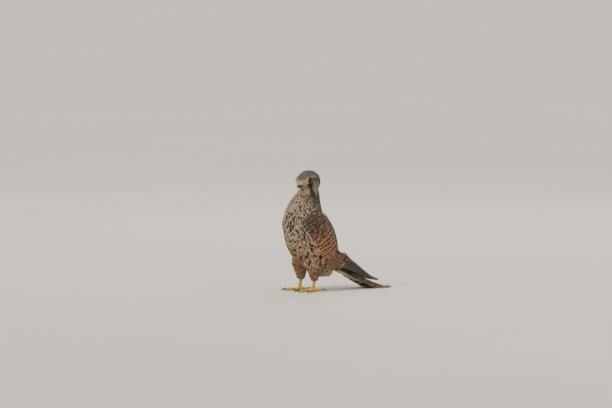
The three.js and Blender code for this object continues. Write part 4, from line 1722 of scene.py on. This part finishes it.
@dataclass
class Tail:
    """Twelve tail feathers and the coverts over and under their roots.

    Attributes:
        start: Where the tail leaves the body, as Y and Z.
        length: Of the longest feathers.
        slope: Its fall in degrees at root and tip.
        bow: How much the sides hang below the middle, over the square of the distance.
        layer: Height from one feather to the next.
        steps_in: How much shorter each feather is than the middle pair, from the middle out.
        over: Rows of coverts on the top: start, end, pairs and reach to the side.
        below: The same for the underside.
    """

    ground: Ground
    start: Pair = (36.0, 68.0)
    length: float = 153.0
    slope: Pair = (40.0, 14.5)
    bow: float = 0.012
    layer: float = 0.9
    steps_in: tuple[float, ...] = (0, 1, 3, 6, 10, 16)
    over: tuple[Four, ...] = ((6, 44, 3, 9.0), (-4, 30, 3, 11.0), (-16, 16, 4, 12.0))
    below: tuple[Four, ...] = ((24, 96, 3, 8.0), (14, 74, 4, 11.0), (4, 54, 5, 13.0))

    def point(self, along: Array, x: Array, high: Array) -> Array:
        """A place by its distance along the tail, to the side and over its middle line.

        Args:
            along: Distance along the tail.
            x: To the side.
            high: Over the middle line.

        Returns:
            The places.
        """
        fine = np.linspace(-10, self.length + 15, 400)
        lean = np.radians(mix(*self.slope, fine / self.length))
        step = fine[1] - fine[0]
        y = np.concatenate([[0], np.cumsum(np.cos((lean[1:] + lean[:-1]) / 2) * step)])
        z = np.concatenate([[0], np.cumsum(-np.sin((lean[1:] + lean[:-1]) / 2) * step)])
        y += self.start[0] - np.interp(0, fine, y)
        z += self.start[1] - np.interp(0, fine, z)
        at_y, at_z, at_lean = (np.interp(along, fine, row) for row in (y, z, lean))
        x, high = np.broadcast_arrays(x, high)
        return np.stack([x, at_y + high * np.sin(at_lean), at_z + high * np.cos(at_lean)], -1)

    def root(self) -> Piece:
        """The fleshy root, which the skin is drawn over.

        Returns:
            The root.
        """
        angle = np.linspace(0, 2 * math.pi, 24, endpoint=False)
        rise = np.sin(angle)
        rings = []
        for along, half, up, down in rows_at(TAIL_ROOT, np.linspace(0, 4, 12)):
            high = np.where(rise > 0, up, down) * rise
            rings.append(self.point(np.full(24, along), half * np.cos(angle), high))
        return tube_object("tail_root", np.array(rings), self.ground)

    def lay(self, vanes: Vanes, quill: Quill, span: Pair, side: int, centre: Pair,
            levels: Pair, rest: float, rng: Chance,
            cell: Triple) -> None:
        """Lays one feather.

        Args:
            vanes: The piece it goes into.
            quill: The feather.
            span: Where along the tail it starts and ends.
            side: 1 for the bird's left and -1 for its right.
            centre: Distance of its shaft from the middle at root and tip.
            levels: Its height at root and tip.
            rest: Its height over the floor where it lies on it.
            rng: Source of its small differences.
            cell: Its share of the unwrap.
        """
        u = quill.shares()
        across, height, under = quill.section(u, rng)
        x = mix(*centre, u)[:, None] + across
        level = mix(*levels, u)[:, None] - self.bow * x ** 2 + height
        along = np.broadcast_to(mix(*span, u)[:, None], x.shape)
        rings = self.point(along, side * x, level)
        rings[..., 2] = np.maximum(rings[..., 2], rest + height - height.min())
        quill.add_to(vanes, rings, under, cell)

    def build(self, material: Material) -> Piece:
        """Lays the twelve feathers and the coverts, and makes the piece.

        Args:
            material: The finish.

        Returns:
            The piece.
        """
        rng = np.random.default_rng(SEED + 9)
        vanes = Vanes()
        pairs = len(self.steps_in) + sum(row[2] for row in self.over + self.below)
        cells = (cell_of(index, 2 * pairs) for index in range(2 * pairs))
        for rank in range(5, -1, -1):
            for side in (1, -1):
                centre = 2.5 if rank == 0 else 4 + 2.1 * rank
                level = (0.0 if side > 0 else -self.layer) if rank == 0 else -self.layer * (rank + 1)
                quill = Quill(8.6, TAIL_TOP * (1 + 0.06 * rng.standard_normal()), TAIL_BAR,
                              (0.0, 0.0, 0.46, 0.7), under=TAIL_UNDER, shaft=0.1 if rank else 0.0, blunt=0.14,
                              steps=26, root_width=0.45)
                rest = 0.12 + 0.32 * (5 - rank) + (0.16 if side > 0 else 0.0)
                self.lay(vanes, quill, (28, self.length - self.steps_in[rank]), side, (centre * 0.35, centre),
                         (level, level), rest, rng, next(cells))
        for row, (start, end, count, reach) in enumerate(self.over):
            for rank in range(count):
                for side in (1, -1):
                    x = reach * (rank + 0.35) / count
                    quill = Quill(5.4, RUMP * (1 + 0.08 * rng.standard_normal()), TAIL_BAR,
                                  (0.0, 0.0, 0.12, 0.6))
                    levels = (7.0 + 1.3 * row, 2.2 + row - 0.2 * rank)
                    self.lay(vanes, quill, (start, end + 12 - 2 * rank), side, (x * 0.8, x), levels, 3.0, rng,
                             next(cells))
        for row, (start, end, count, reach) in enumerate(self.below):
            for rank in range(count):
                for side in (1, -1):
                    x = reach * (rank + 0.35) / count
                    quill = Quill(6.2, UNDERTAIL * (1 + 0.06 * rng.standard_normal()), UNDERTAIL_MARK,
                                  (0.14, 0.0, 0.0, 0.5), root_width=0.7)
                    levels = (-9.5 - 2.4 * row, -7.6 - 1.3 * row + 0.3 * rank)
                    self.lay(vanes, quill, (start, end - 4 * rank), side, (x * 0.9, x), levels, 0.1, rng,
                             next(cells))
        piece = vanes.build("tail_feathers", self.ground, material)
        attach(piece, "root")
        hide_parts("tail")
        return piece


# Head


@dataclass
class Face:
    """Eyes, lids, cere and bill.

    Attributes:
        cere_end: Share of the upper bill that the cere takes.
    """

    ground: Ground
    cere_end: float = 0.4
    sides: int = 40
    steps: int = 60

    def upper(self, u: Array, grow: float = 0.0) -> Array:
        """Rings of the upper bill at shares of its length.

        Args:
            u: Shares of the length.
            grow: How much wider than the bill.

        Returns:
            The rings.
        """
        angle = np.linspace(0, 2 * math.pi, self.sides, endpoint=False)
        turn = np.radians(mix(8, 104, u ** 1.25))[:, None]
        y = (-17.5 - 11.4 * np.sin(u * 1.52))[:, None]
        z = (-4.9 - 7.6 * u ** 2.3)[:, None]
        tall = (mix(6.2, 0.75, u ** 1.15) + grow)[:, None]
        half = (mix(5.7, 0.62, u ** 0.85) + grow)[:, None]
        rise = np.sin(angle)[None]
        pinch = 1 - 0.22 * np.clip(rise, 0, 1) ** 2
        tooth = np.exp(-(((u - 0.66) / 0.06) ** 2))[:, None] * np.clip(-rise, 0, 1) ** 3 * 0.9
        notch = np.exp(-(((u - 0.78) / 0.05) ** 2))[:, None] * np.clip(-rise, 0, 1) ** 3 * 0.5
        reach = np.where(rise > 0, rise * tall, rise * tall * 0.62) - tooth + notch
        x = np.cos(angle)[None] * half * pinch
        y, z = y - reach * np.sin(turn), z + reach * np.cos(turn)
        return from_head(np.stack(np.broadcast_arrays(x, y, z), -1))

    def nostril_dent(self, rings: Array) -> Array:
        """Sinks a round nostril with a raised rim into each side of the cere.

        Args:
            rings: The cere's rings.

        Returns:
            The rings, dented.
        """
        q = to_head(rings)
        for side in (1, -1):
            away = np.linalg.norm(q - NOSTRIL_AT * np.array([side, 1, 1]), axis=-1)
            sink = 1.3 * (1 - ease(0.5, 1.15, away)) - 0.22 * np.exp(-(((away - 1.4) / 0.35) ** 2))
            q[..., 0] -= side * sink
        return from_head(q)

    def bill(self, cere: Material, horn: Material) -> list[Piece]:
        """Makes the cere and both halves of the bill.

        Args:
            cere: Finish of the cere.
            horn: Finish of the bill.

        Returns:
            The three pieces.
        """
        rings = self.upper(np.linspace(0, self.cere_end, 44), 0.25)
        rings = self.nostril_dent(rings)
        waxy = tube_object("cere_skin", rings, self.ground)
        q = to_head(rings.reshape(-1, 3))
        q[:, 0] = np.abs(q[:, 0])
        pit = np.linalg.norm(q - NOSTRIL_AT, axis=1)
        # The nostril's pit takes the crease colour, as painted shade in its hollow.
        add_tint(waxy, "relief", np.stack([ease(0.9, 1.5, pit), 1 - ease(1.5, 2.2, pit), 0 * pit], 1))
        share = np.linspace(self.cere_end - 0.03, 1, self.steps)
        hook = tube_object("bill_hook", self.upper(share), self.ground)
        add_tint(hook, "along", np.repeat(share, self.sides))
        u = np.linspace(0, 1, 30)
        angle = np.linspace(0, 2 * math.pi, 28, endpoint=False)
        half = mix(4.9, 1.2, u ** 1.5)[:, None]
        deep = mix(2.6, 0.9, u)[:, None]
        up = np.clip(np.sin(angle)[None] * deep, -deep, 0.8 * deep)
        y = np.broadcast_to(mix(-15, -25.4, u)[:, None], up.shape)
        z = mix(-11.0, -10.4, u)[:, None] + up
        jaw_rings = from_head(np.stack([np.cos(angle)[None] * half, y, z], -1))
        jaw = tube_object("bill_jaw", jaw_rings, self.ground)
        add_tint(jaw, "along", np.repeat(0.25 + 0.6 * u, 28))
        for piece, material, node, slot in (
            (waxy, cere, "cere", "leg_skin"), (hook, horn, "bill_upper", "bill"),
            (jaw, horn, "bill_lower", "bill"),
        ):
            piece.data.materials.append(material)
            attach(piece, "root")
            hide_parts(node)
        return [waxy, hook, jaw]

    def eye(self, side: Side, material: Material) -> Piece:
        """Makes one eyeball with its bulging cornea.

        Args:
            side: Which eye.
            material: Its finish.

        Returns:
            The eyeball.
        """
        aim = unit(EYE_AIM * np.array([side.value, 1, 1]))
        across = unit(np.cross(aim, np.array([0.0, 0, 1])))
        up = np.cross(across, aim)
        polar = np.linspace(0.02, math.pi - 0.02, 48)
        round_ = np.linspace(0, 2 * math.pi, 56, endpoint=False)
        bulge = EYE_R + 0.12 * np.exp(-((polar / 0.5) ** 2))
        ring = np.cos(round_)[:, None] * across + np.sin(round_)[:, None] * up
        points = np.cos(polar)[:, None, None] * aim + np.sin(polar)[:, None, None] * ring
        points = points * bulge[:, None, None]
        rings = from_head(points + EYE_AT * np.array([side.value, 1, 1]))
        piece = tube_object(f"eyeball_{side.word}", rings, self.ground)
        add_tint(piece, "ring", np.repeat(polar / math.pi, 56))
        piece.data.materials.append(material)
        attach(piece, "root")
        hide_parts(f"eye_{side.word}")
        return piece

    def lids(self, side: Side, material: Material) -> Piece:
        """Makes the ring of bare skin round one eye, thicker in front, with fine radial folds.

        Args:
            side: Which eye.
            material: Their finish.

        Returns:
            The lids.
        """
        aim = unit(EYE_AIM * np.array([side.value, 1, 1]))
        across = unit(np.cross(aim, np.array([0.0, 0, 1]))) * side.value
        up = unit(np.array([0.0, 0, 1]) - aim * aim[2])
        turn = np.linspace(0, 2 * math.pi, 160, endpoint=False)
        mid = np.linspace(0, 2 * math.pi, 16, endpoint=False)
        front = np.clip(np.cos(turn), 0, 1)
        above = np.clip(np.sin(turn), 0, 1)
        major = 4.4 + 0.5 * front
        thick = 0.36 + 0.66 * front ** 1.5 - 0.08 * above + 0.03 * np.sin(turn * 58)
        squash = 1 - 0.05 * np.abs(np.sin(turn)) - 0.07 * above
        radial = np.cos(turn)[:, None] * across + (np.sin(turn) * squash)[:, None] * up
        out = major[:, None] + thick[:, None] * np.cos(mid)
        tall = 3.75 + 0.85 * thick[:, None] * np.sin(mid) - 0.45 * (out - 4.6)
        points = radial[:, None] * out[..., None] + aim * tall[..., None]
        rings = from_head(points + EYE_AT * np.array([side.value, 1, 1]))
        sides = len(mid)
        faces = ring_faces(len(turn) + 1, sides)[: len(turn) * sides * 2] % (len(turn) * sides)
        points = rings.reshape(-1, 3)
        piece = mesh_object(f"lids_{side.word}", self.ground.out(points), outward(points, faces))
        # The grooves of the folds take the crease colour as painted shade.
        folds = 0.55 + 0.3 * np.sin(np.repeat(turn, sides) * 58)
        add_tint(piece, "relief", np.stack([folds, np.full_like(folds, 0.8), 0 * folds], 1))
        piece.data.materials.append(material)
        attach(piece, "root")
        return piece


# Legs


@dataclass
class Foot:
    """One bare leg with its four toes and claws."""

    side: Side
    ground: Ground
    toes: tuple[tuple[str, float, float, float], ...] = (
        ("hind", 176, 12.5, 10.5), ("inner", -34, 18, 10), ("middle", 3, 26, 9.5), ("outer", 38, 19, 8.5),
    )
    hub: float = 5.0

    def skin(self, nodes: dict[str, Piece], material: Material) -> Piece:
        """Makes leg and toes as one skin, with scutes raised along their tops.

        Args:
            nodes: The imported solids.
            material: The finish.

        Returns:
            The piece.
        """
        word = self.side.word
        names = [f"tarsus_{word}", f"foot_{word}"] + [f"toe_{word}_{toe[0]}" for toe in self.toes]
        piece = joined_skin(f"leg_{word}", [nodes[name] for name in names], 0.00042, 5)
        places, normals = self.ground.back(vertex_rows(piece.data)), vertex_rows(piece.data, "normal")
        relief = np.full(len(places), 0.5)
        scuted = np.zeros(len(places))
        nearest = np.full(len(places), 9.0)
        own = places * np.array([self.side.value, 1, 1]) - np.array([STANCE, FOOT_Y, 0])
        for _, turn, length, _ in self.toes:
            q = turned(own, -math.radians(turn))
            out = -q[:, 1]
            on = (out > 3) & (out < self.hub + length + 3) & (q[:, 2] < 9)
            away = np.abs(q[:, 0])
            better = on & (away < nearest)
            nearest = np.where(better, away, nearest)
            ridge = np.abs(np.sin(out * math.pi / 1.7)) ** 0.6
            upward = ease(0.15, 0.5, normals[:, 2])
            relief = np.where(better, mix(0.5, ridge, upward), relief)
            scuted = np.where(better, upward, scuted)
        shank = places[:, 2] > 8.5
        angle = np.arctan2(places[:, 0] * self.side.value - STANCE, -(places[:, 1] - FOOT_Y))
        front = ease(1.1, 0.7, np.abs(angle))
        plates = np.abs(np.sin(places[:, 2] * math.pi / 1.9)) ** 0.5
        relief = np.where(shank, mix(0.5, plates, front), relief)
        scuted = np.where(shank, front, scuted)
        moved = places + normals * ((relief - 0.7) * 0.4)[:, None]
        moved[:, 2] = np.maximum(moved[:, 2], 0.0)
        move_vertices(piece.data, self.ground.out(moved))
        piece.data.materials.clear()
        piece.data.materials.append(material)
        # Low relief between scutes and plates takes the crease colour as painted shade.
        add_tint(piece, "relief", np.stack([relief, scuted, 0 * relief], 1))
        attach(piece, "root")
        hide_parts(*names)
        return piece

    def claws(self, material: Material) -> list[Piece]:
        """Makes the four claws.

        Args:
            material: The finish.

        Returns:
            The claws.
        """
        made = []
        for name, turn, length, claw in self.toes:
            u = np.linspace(0, 1, 26)
            bend = claw * 0.72
            lean = np.radians(mix(-28, 62, u))
            start = math.radians(-28)
            y = -(self.hub + length + GAP - 1.2) - bend * (np.sin(lean) - math.sin(start))
            z = 2.5 + bend * (np.cos(lean) - math.cos(start))
            r = mix(1.6, 0.16, u ** 0.85)
            angle = np.linspace(0, 2 * math.pi, 18, endpoint=False)
            rise = 1.18 * r[:, None] * np.sin(angle)
            rise = np.where(rise < 0, rise * 0.75, rise)
            ring = np.stack([0.8 * r[:, None] * np.cos(angle), y[:, None] - rise * np.sin(lean)[:, None],
                             z[:, None] + rise * np.cos(lean)[:, None]], -1)
            ring[..., 2] = np.maximum(ring[..., 2], 0.02)
            rings = turned(ring, math.radians(turn)) + np.array([STANCE, FOOT_Y, 0])
            rings[..., 0] *= self.side.value
            piece = tube_object(f"talon_{self.side.word}_{name}", rings, self.ground)
            add_tint(piece, "along", np.repeat(u, 18))
            piece.data.materials.append(material)
            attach(piece, "root")
            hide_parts(f"claw_{self.side.word}_{name}")
            made.append(piece)
        return made


# Body


@dataclass
class Body:
    """The skin of head, neck, trunk, thighs, arms and tail root, and the feathers over it.

    Attributes:
        grain: Grain of the skin in metres.
        depth: How far the skin lies inside the solids on the body and on the head.
    """

    ground: Ground
    face: WingFace
    tail: Tail
    grain: float = 0.00115
    depth: Pair = (1.3, 0.55)

    def skin(self, nodes: dict[str, Piece], wings: Sequence[Wing], markings: Markings,
             material: Material) -> Piece:
        """Makes the one skin that replaces the solids of flesh.

        Args:
            nodes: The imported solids.
            wings: The wings, whose arms it covers.
            markings: Its colours.
            material: The finish.

        Returns:
            The skin.
        """
        names = ("head", "neck", "torso", "thigh_left", "thigh_right")
        extra = [wing.arm() for wing in wings] + [self.tail.root()]
        piece = joined_skin("skin", [nodes[name] for name in names] + extra, self.grain, 4)
        for source in extra:
            bpy.data.objects.remove(source, do_unlink=True)
        places = self.ground.back(vertex_rows(piece.data))
        inset = mix(*self.depth, ease(168, 178, places[:, 2]))
        places -= vertex_rows(piece.data, "normal") * inset[:, None]
        move_vertices(piece.data, self.ground.out(places))
        look = markings.at(places, np.random.default_rng(SEED + 4))
        # The skin is seen only in the gaps between feathers, so it takes their colours darkened to 0.7 and
        # 0.35 as painted shade.
        add_tint(piece, "ground", look.ground * 0.7)
        add_tint(piece, "dark", look.ground * 0.35)
        uv = skin_unwrap(places)
        mesh = piece.data
        corners = np.empty(len(mesh.loops), np.int32)
        mesh.loops.foreach_get("vertex_index", corners)
        sizes = np.empty(len(mesh.polygons), np.int32)
        mesh.polygons.foreach_get("loop_total", sizes)
        face_of = np.repeat(np.arange(len(sizes)), sizes)
        place = uv[corners]
        most = np.zeros(len(sizes))
        np.maximum.at(most, face_of, place[:, 0])
        place[:, 0] += 0.9 * (most[face_of] - place[:, 0] > 0.5)
        add_uv(piece, "OFBake", place)
        piece.data.materials.clear()
        piece.data.materials.append(material)
        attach(piece, "root")
        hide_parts(*names)
        return piece

    def surface(self, piece: Piece) -> Surface:
        """The skin's triangles for laying feathers."""
        faces = triangles(piece.data)
        return Surface(self.ground.back(vertex_rows(piece.data)), faces)

    def to_border(self, places: Array) -> Array:
        """Distance of some places from the edge along which the wing is tucked into the plumage.

        Args:
            places: The places.

        Returns:
            One distance for each.
        """
        share = np.linspace(0, 1, 30)
        s = np.concatenate([0 * share, 0.42 * share, 0.34 * share])
        t = np.concatenate([share, 0 * share + 1, 0 * share])
        edge = self.face.frame(s, t)[0]
        near = places * np.where(places[:, :1] < 0, [[-1.0, 1, 1]], [[1.0, 1, 1]])
        return np.linalg.norm(near[:, None] - edge[None], axis=2).min(1)

    def in_bill(self, places: Array) -> Array:
        """Which places lie inside the bill or the cere.

        Args:
            places: The places.

        Returns:
            True where a place is inside.
        """
        rings = Face(self.ground).upper(np.linspace(0, 1, 30), 0.35)
        count, sides = rings.shape[:2]
        tree = search_tree(rings.reshape(-1, 3), ring_faces(count, sides))
        inside = np.zeros(len(places), bool)
        for i in np.nonzero(np.linalg.norm(to_head(places) - np.array([0, -22, -6]), axis=1) < 14)[0]:
            hit, normal, _, _ = tree.find_nearest(Vector(places[i]))
            inside[i] = (Vector(places[i]) - hit).dot(normal) < 0
        return inside

    def bare(self) -> Rule:
        """A test for the places that carry body feathers: not under the wings, nor on eyes or bill.

        Returns:
            The test.
        """
        s, t = np.meshgrid(np.linspace(0.06, 0.62, 60), np.linspace(0.12, 0.9, 34), indexing="ij")
        wing = self.face.frame(s, t)[0].reshape(-1, 3)
        a = np.arange(len(wing)).reshape(s.shape)
        quads = np.stack([a[:-1, :-1], a[1:, :-1], a[1:, 1:], a[:-1, 1:]], -1).reshape(-1, 4)
        tree = search_tree(wing, quads)

        def keep(places: Array) -> Array:
            """Which of some places carry body feathers.

            Args:
                places: The places.

            Returns:
                True where a feather may grow.
            """
            good = np.ones(len(places), bool)
            mirrored = np.abs(places[:, 0])
            low = places[:, 2] < 140
            for i in np.nonzero(low)[0]:
                hit = tree.find_nearest(Vector((mirrored[i], places[i, 1], places[i, 2])), 4.4)
                good[i] = hit[0] is None
            good &= ~self.in_bill(places)
            q = to_head(places)
            q[:, 0] = np.abs(q[:, 0])
            aim = unit(EYE_AIM)
            rel = q - EYE_AT
            out = rel @ aim
            away = np.linalg.norm(rel - out[:, None] * aim, axis=1)
            good &= ~((away < np.where(rel[:, 2] > 1, 4.25, 4.7)) & (out > -2))
            good &= places[:, 2] > 17.5
            return good

        return keep


# Studio


class LampKind(Enum):
    """Kinds of lamp: an even light from far away, or a panel near the bird."""

    SUN = "SUN"
    AREA = "AREA"


@dataclass
class Studio:
    """Floor, light and camera.

    Attributes:
        azimuth: The camera's bearing in degrees.
        elevation: The camera's height in degrees.
        distance: From the bird to the camera, in metres.
        lamp_away: From the bird to a lamp, in metres.
        centre_px: Middle of the picture.
        foot_px: Where the bird's own origin stands in the picture.
        frame_px: The picture's size.
        floor_half: Half of the floor's width, in metres.
    """

    ground: Ground
    azimuth: float = 57.0
    elevation: float = 4.0
    distance: float = 12.0
    lamp_away: float = 2.4
    centre_px: Pair = (306.0, 204.0)
    foot_px: Pair = (307.0, 291.0)
    frame_px: tuple[int, int] = (612, 408)
    floor_half: float = 60.0

    def aim(self) -> tuple[Vector, Vector]:
        """The place the camera looks at, and the direction from there to the camera.

        Returns:
            The place and the direction.
        """
        a, e = math.radians(self.azimuth), math.radians(self.elevation)
        back = Vector((math.sin(a) * math.cos(e), -math.cos(a) * math.cos(e), math.sin(e)))
        right = Vector((math.cos(a), math.sin(a), 0))
        up = back.cross(right)
        foot = Vector(self.ground.out(np.zeros(3)))
        side = (self.centre_px[0] - self.foot_px[0]) * PHOTO_SCALE * MM
        rise = (self.foot_px[1] - self.centre_px[1]) * PHOTO_SCALE * MM
        return foot + right * side + up * rise, back

    def camera(self) -> Piece:
        """Makes the camera at the photograph's angle and framing.

        Returns:
            The camera.
        """
        data = bpy.data.cameras.new("camera")
        width = self.frame_px[0] * PHOTO_SCALE * MM
        data.sensor_width = 36
        data.lens = 36 * self.distance / width
        data.clip_end = 200
        camera = bpy.data.objects.new("camera", data)
        target, back = self.aim()
        camera.location = target + back * self.distance
        camera.rotation_euler = back.to_track_quat("Z", "Y").to_euler()
        bpy.context.scene.collection.objects.link(camera)
        bpy.context.scene.camera = camera
        return camera

    def floor(self, material: Material) -> Piece:
        """Makes the plain floor.

        Args:
            material: The finish.

        Returns:
            The floor.
        """
        corners = self.floor_half * np.array([[-1, -1, 0], [1, -1, 0], [1, 1, 0], [-1, 1, 0]])
        piece = mesh_object("floor", corners, np.array([[0, 1, 2, 3]]), smooth=False)
        piece.data.materials.append(material)
        return piece

    def lamp(self, name: str, kind: LampKind, azimuth: float, elevation: float, power: float, spread: float,
             colour: Triple) -> None:
        """Makes one soft lamp that points at the bird.

        Args:
            name: The lamp's name.
            kind: Its kind.
            azimuth: Its bearing in degrees.
            elevation: Its height in degrees.
            power: Its strength in the kind's own unit.
            spread: A sun's width in degrees, or a panel's in metres.
            colour: Its colour.
        """
        a, e = math.radians(azimuth), math.radians(elevation)
        data = bpy.data.lights.new(name, kind.value)
        data.energy = power
        data.color = colour
        if kind is LampKind.SUN:
            data.angle = math.radians(spread)
        else:
            data.size = spread
        lamp = bpy.data.objects.new(name, data)
        toward = Vector((math.sin(a) * math.cos(e), -math.cos(a) * math.cos(e), math.sin(e)))
        lamp.location = Vector((0, 0, 0.1)) + toward * self.lamp_away
        lamp.rotation_euler = toward.to_track_quat("Z", "Y").to_euler()
        bpy.context.scene.collection.objects.link(lamp)

    def light(self) -> None:
        """Makes the lamps and the even sky."""
        self.lamp("key", LampKind.SUN, self.azimuth - 42, 48, 2.5, 26.0, (1.0, 0.97, 0.92))
        self.lamp("fill", LampKind.AREA, self.azimuth + 60, 26, 7.0, 1.6, (0.9, 0.94, 1.0))
        self.lamp("rim", LampKind.AREA, self.azimuth + 170, 40, 12.0, 1.2, (1.0, 0.97, 0.92))
        world = bpy.data.worlds.new("studio")
        world.use_nodes = True
        sky = world.node_tree.nodes["Background"]
        sky.inputs[0].default_value = (1.0, 0.96, 0.9, 1)
        sky.inputs[1].default_value = 0.5
        bpy.context.scene.world = world


def main() -> None:
    """Builds the whole scene."""
    logging.basicConfig(level=logging.INFO, format="%(message)s")
    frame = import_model()
    nodes = frame["nodes"]
    ground = Ground.from_record(frame["record"])
    studio = Studio(ground)
    studio.camera()
    studio.floor(Backdrop().make())
    studio.light()

    plumage = Plumage().make()
    quills = Plumage("quills", roughness=0.6, barb_depth=0.00003, barbs=60.0, shaft=0.3).make()
    # The second colour of each bare skin is the painted shade in its creases.
    yellow = Scaly("yellow_skin", (0.74, 0.47, 0.04), (0.34, 0.2, 0.03), grain=1300.0).make()
    waxy = Scaly("cere_wax", (0.68, 0.47, 0.06), (0.56, 0.39, 0.05), grain=2600.0, roughness=0.42).make()
    rims = Scaly("eye_rim", (0.8, 0.58, 0.04), (0.6, 0.42, 0.03), grain=3200.0, roughness=0.42).make()
    bill = Horn("bill_horn", (0.2, 0.25, 0.31), (0.014, 0.014, 0.016), turn=(0.5, 0.74)).make()
    claw = Horn("claw_horn", (0.03, 0.028, 0.026), (0.008, 0.008, 0.008), turn=(0.1, 0.6)).make()

    markings = Markings()
    face = WingFace()
    tail = Tail(ground)
    wings = [Wing(side, face, ground) for side in Side]
    body = Body(ground, face, tail)
    skin = body.skin(nodes, wings, markings, Hide().make())
    report(skin)
    coat = Coat(ground, body.surface(skin), markings, body.bare(), body.to_border)
    report(*coat.build(plumage))
    for wing in wings:
        report(wing.build(quills))
    report(tail.build(quills))
    head = Face(ground)
    report(*head.bill(waxy, bill))
    for side in Side:
        report(head.eye(side, WetEye(f"eye_{side.word}").make()), head.lids(side, rims))
        foot = Foot(side, ground)
        report(foot.skin(nodes, yellow), *foot.claws(claw))


if __name__ == "__main__":
    main()
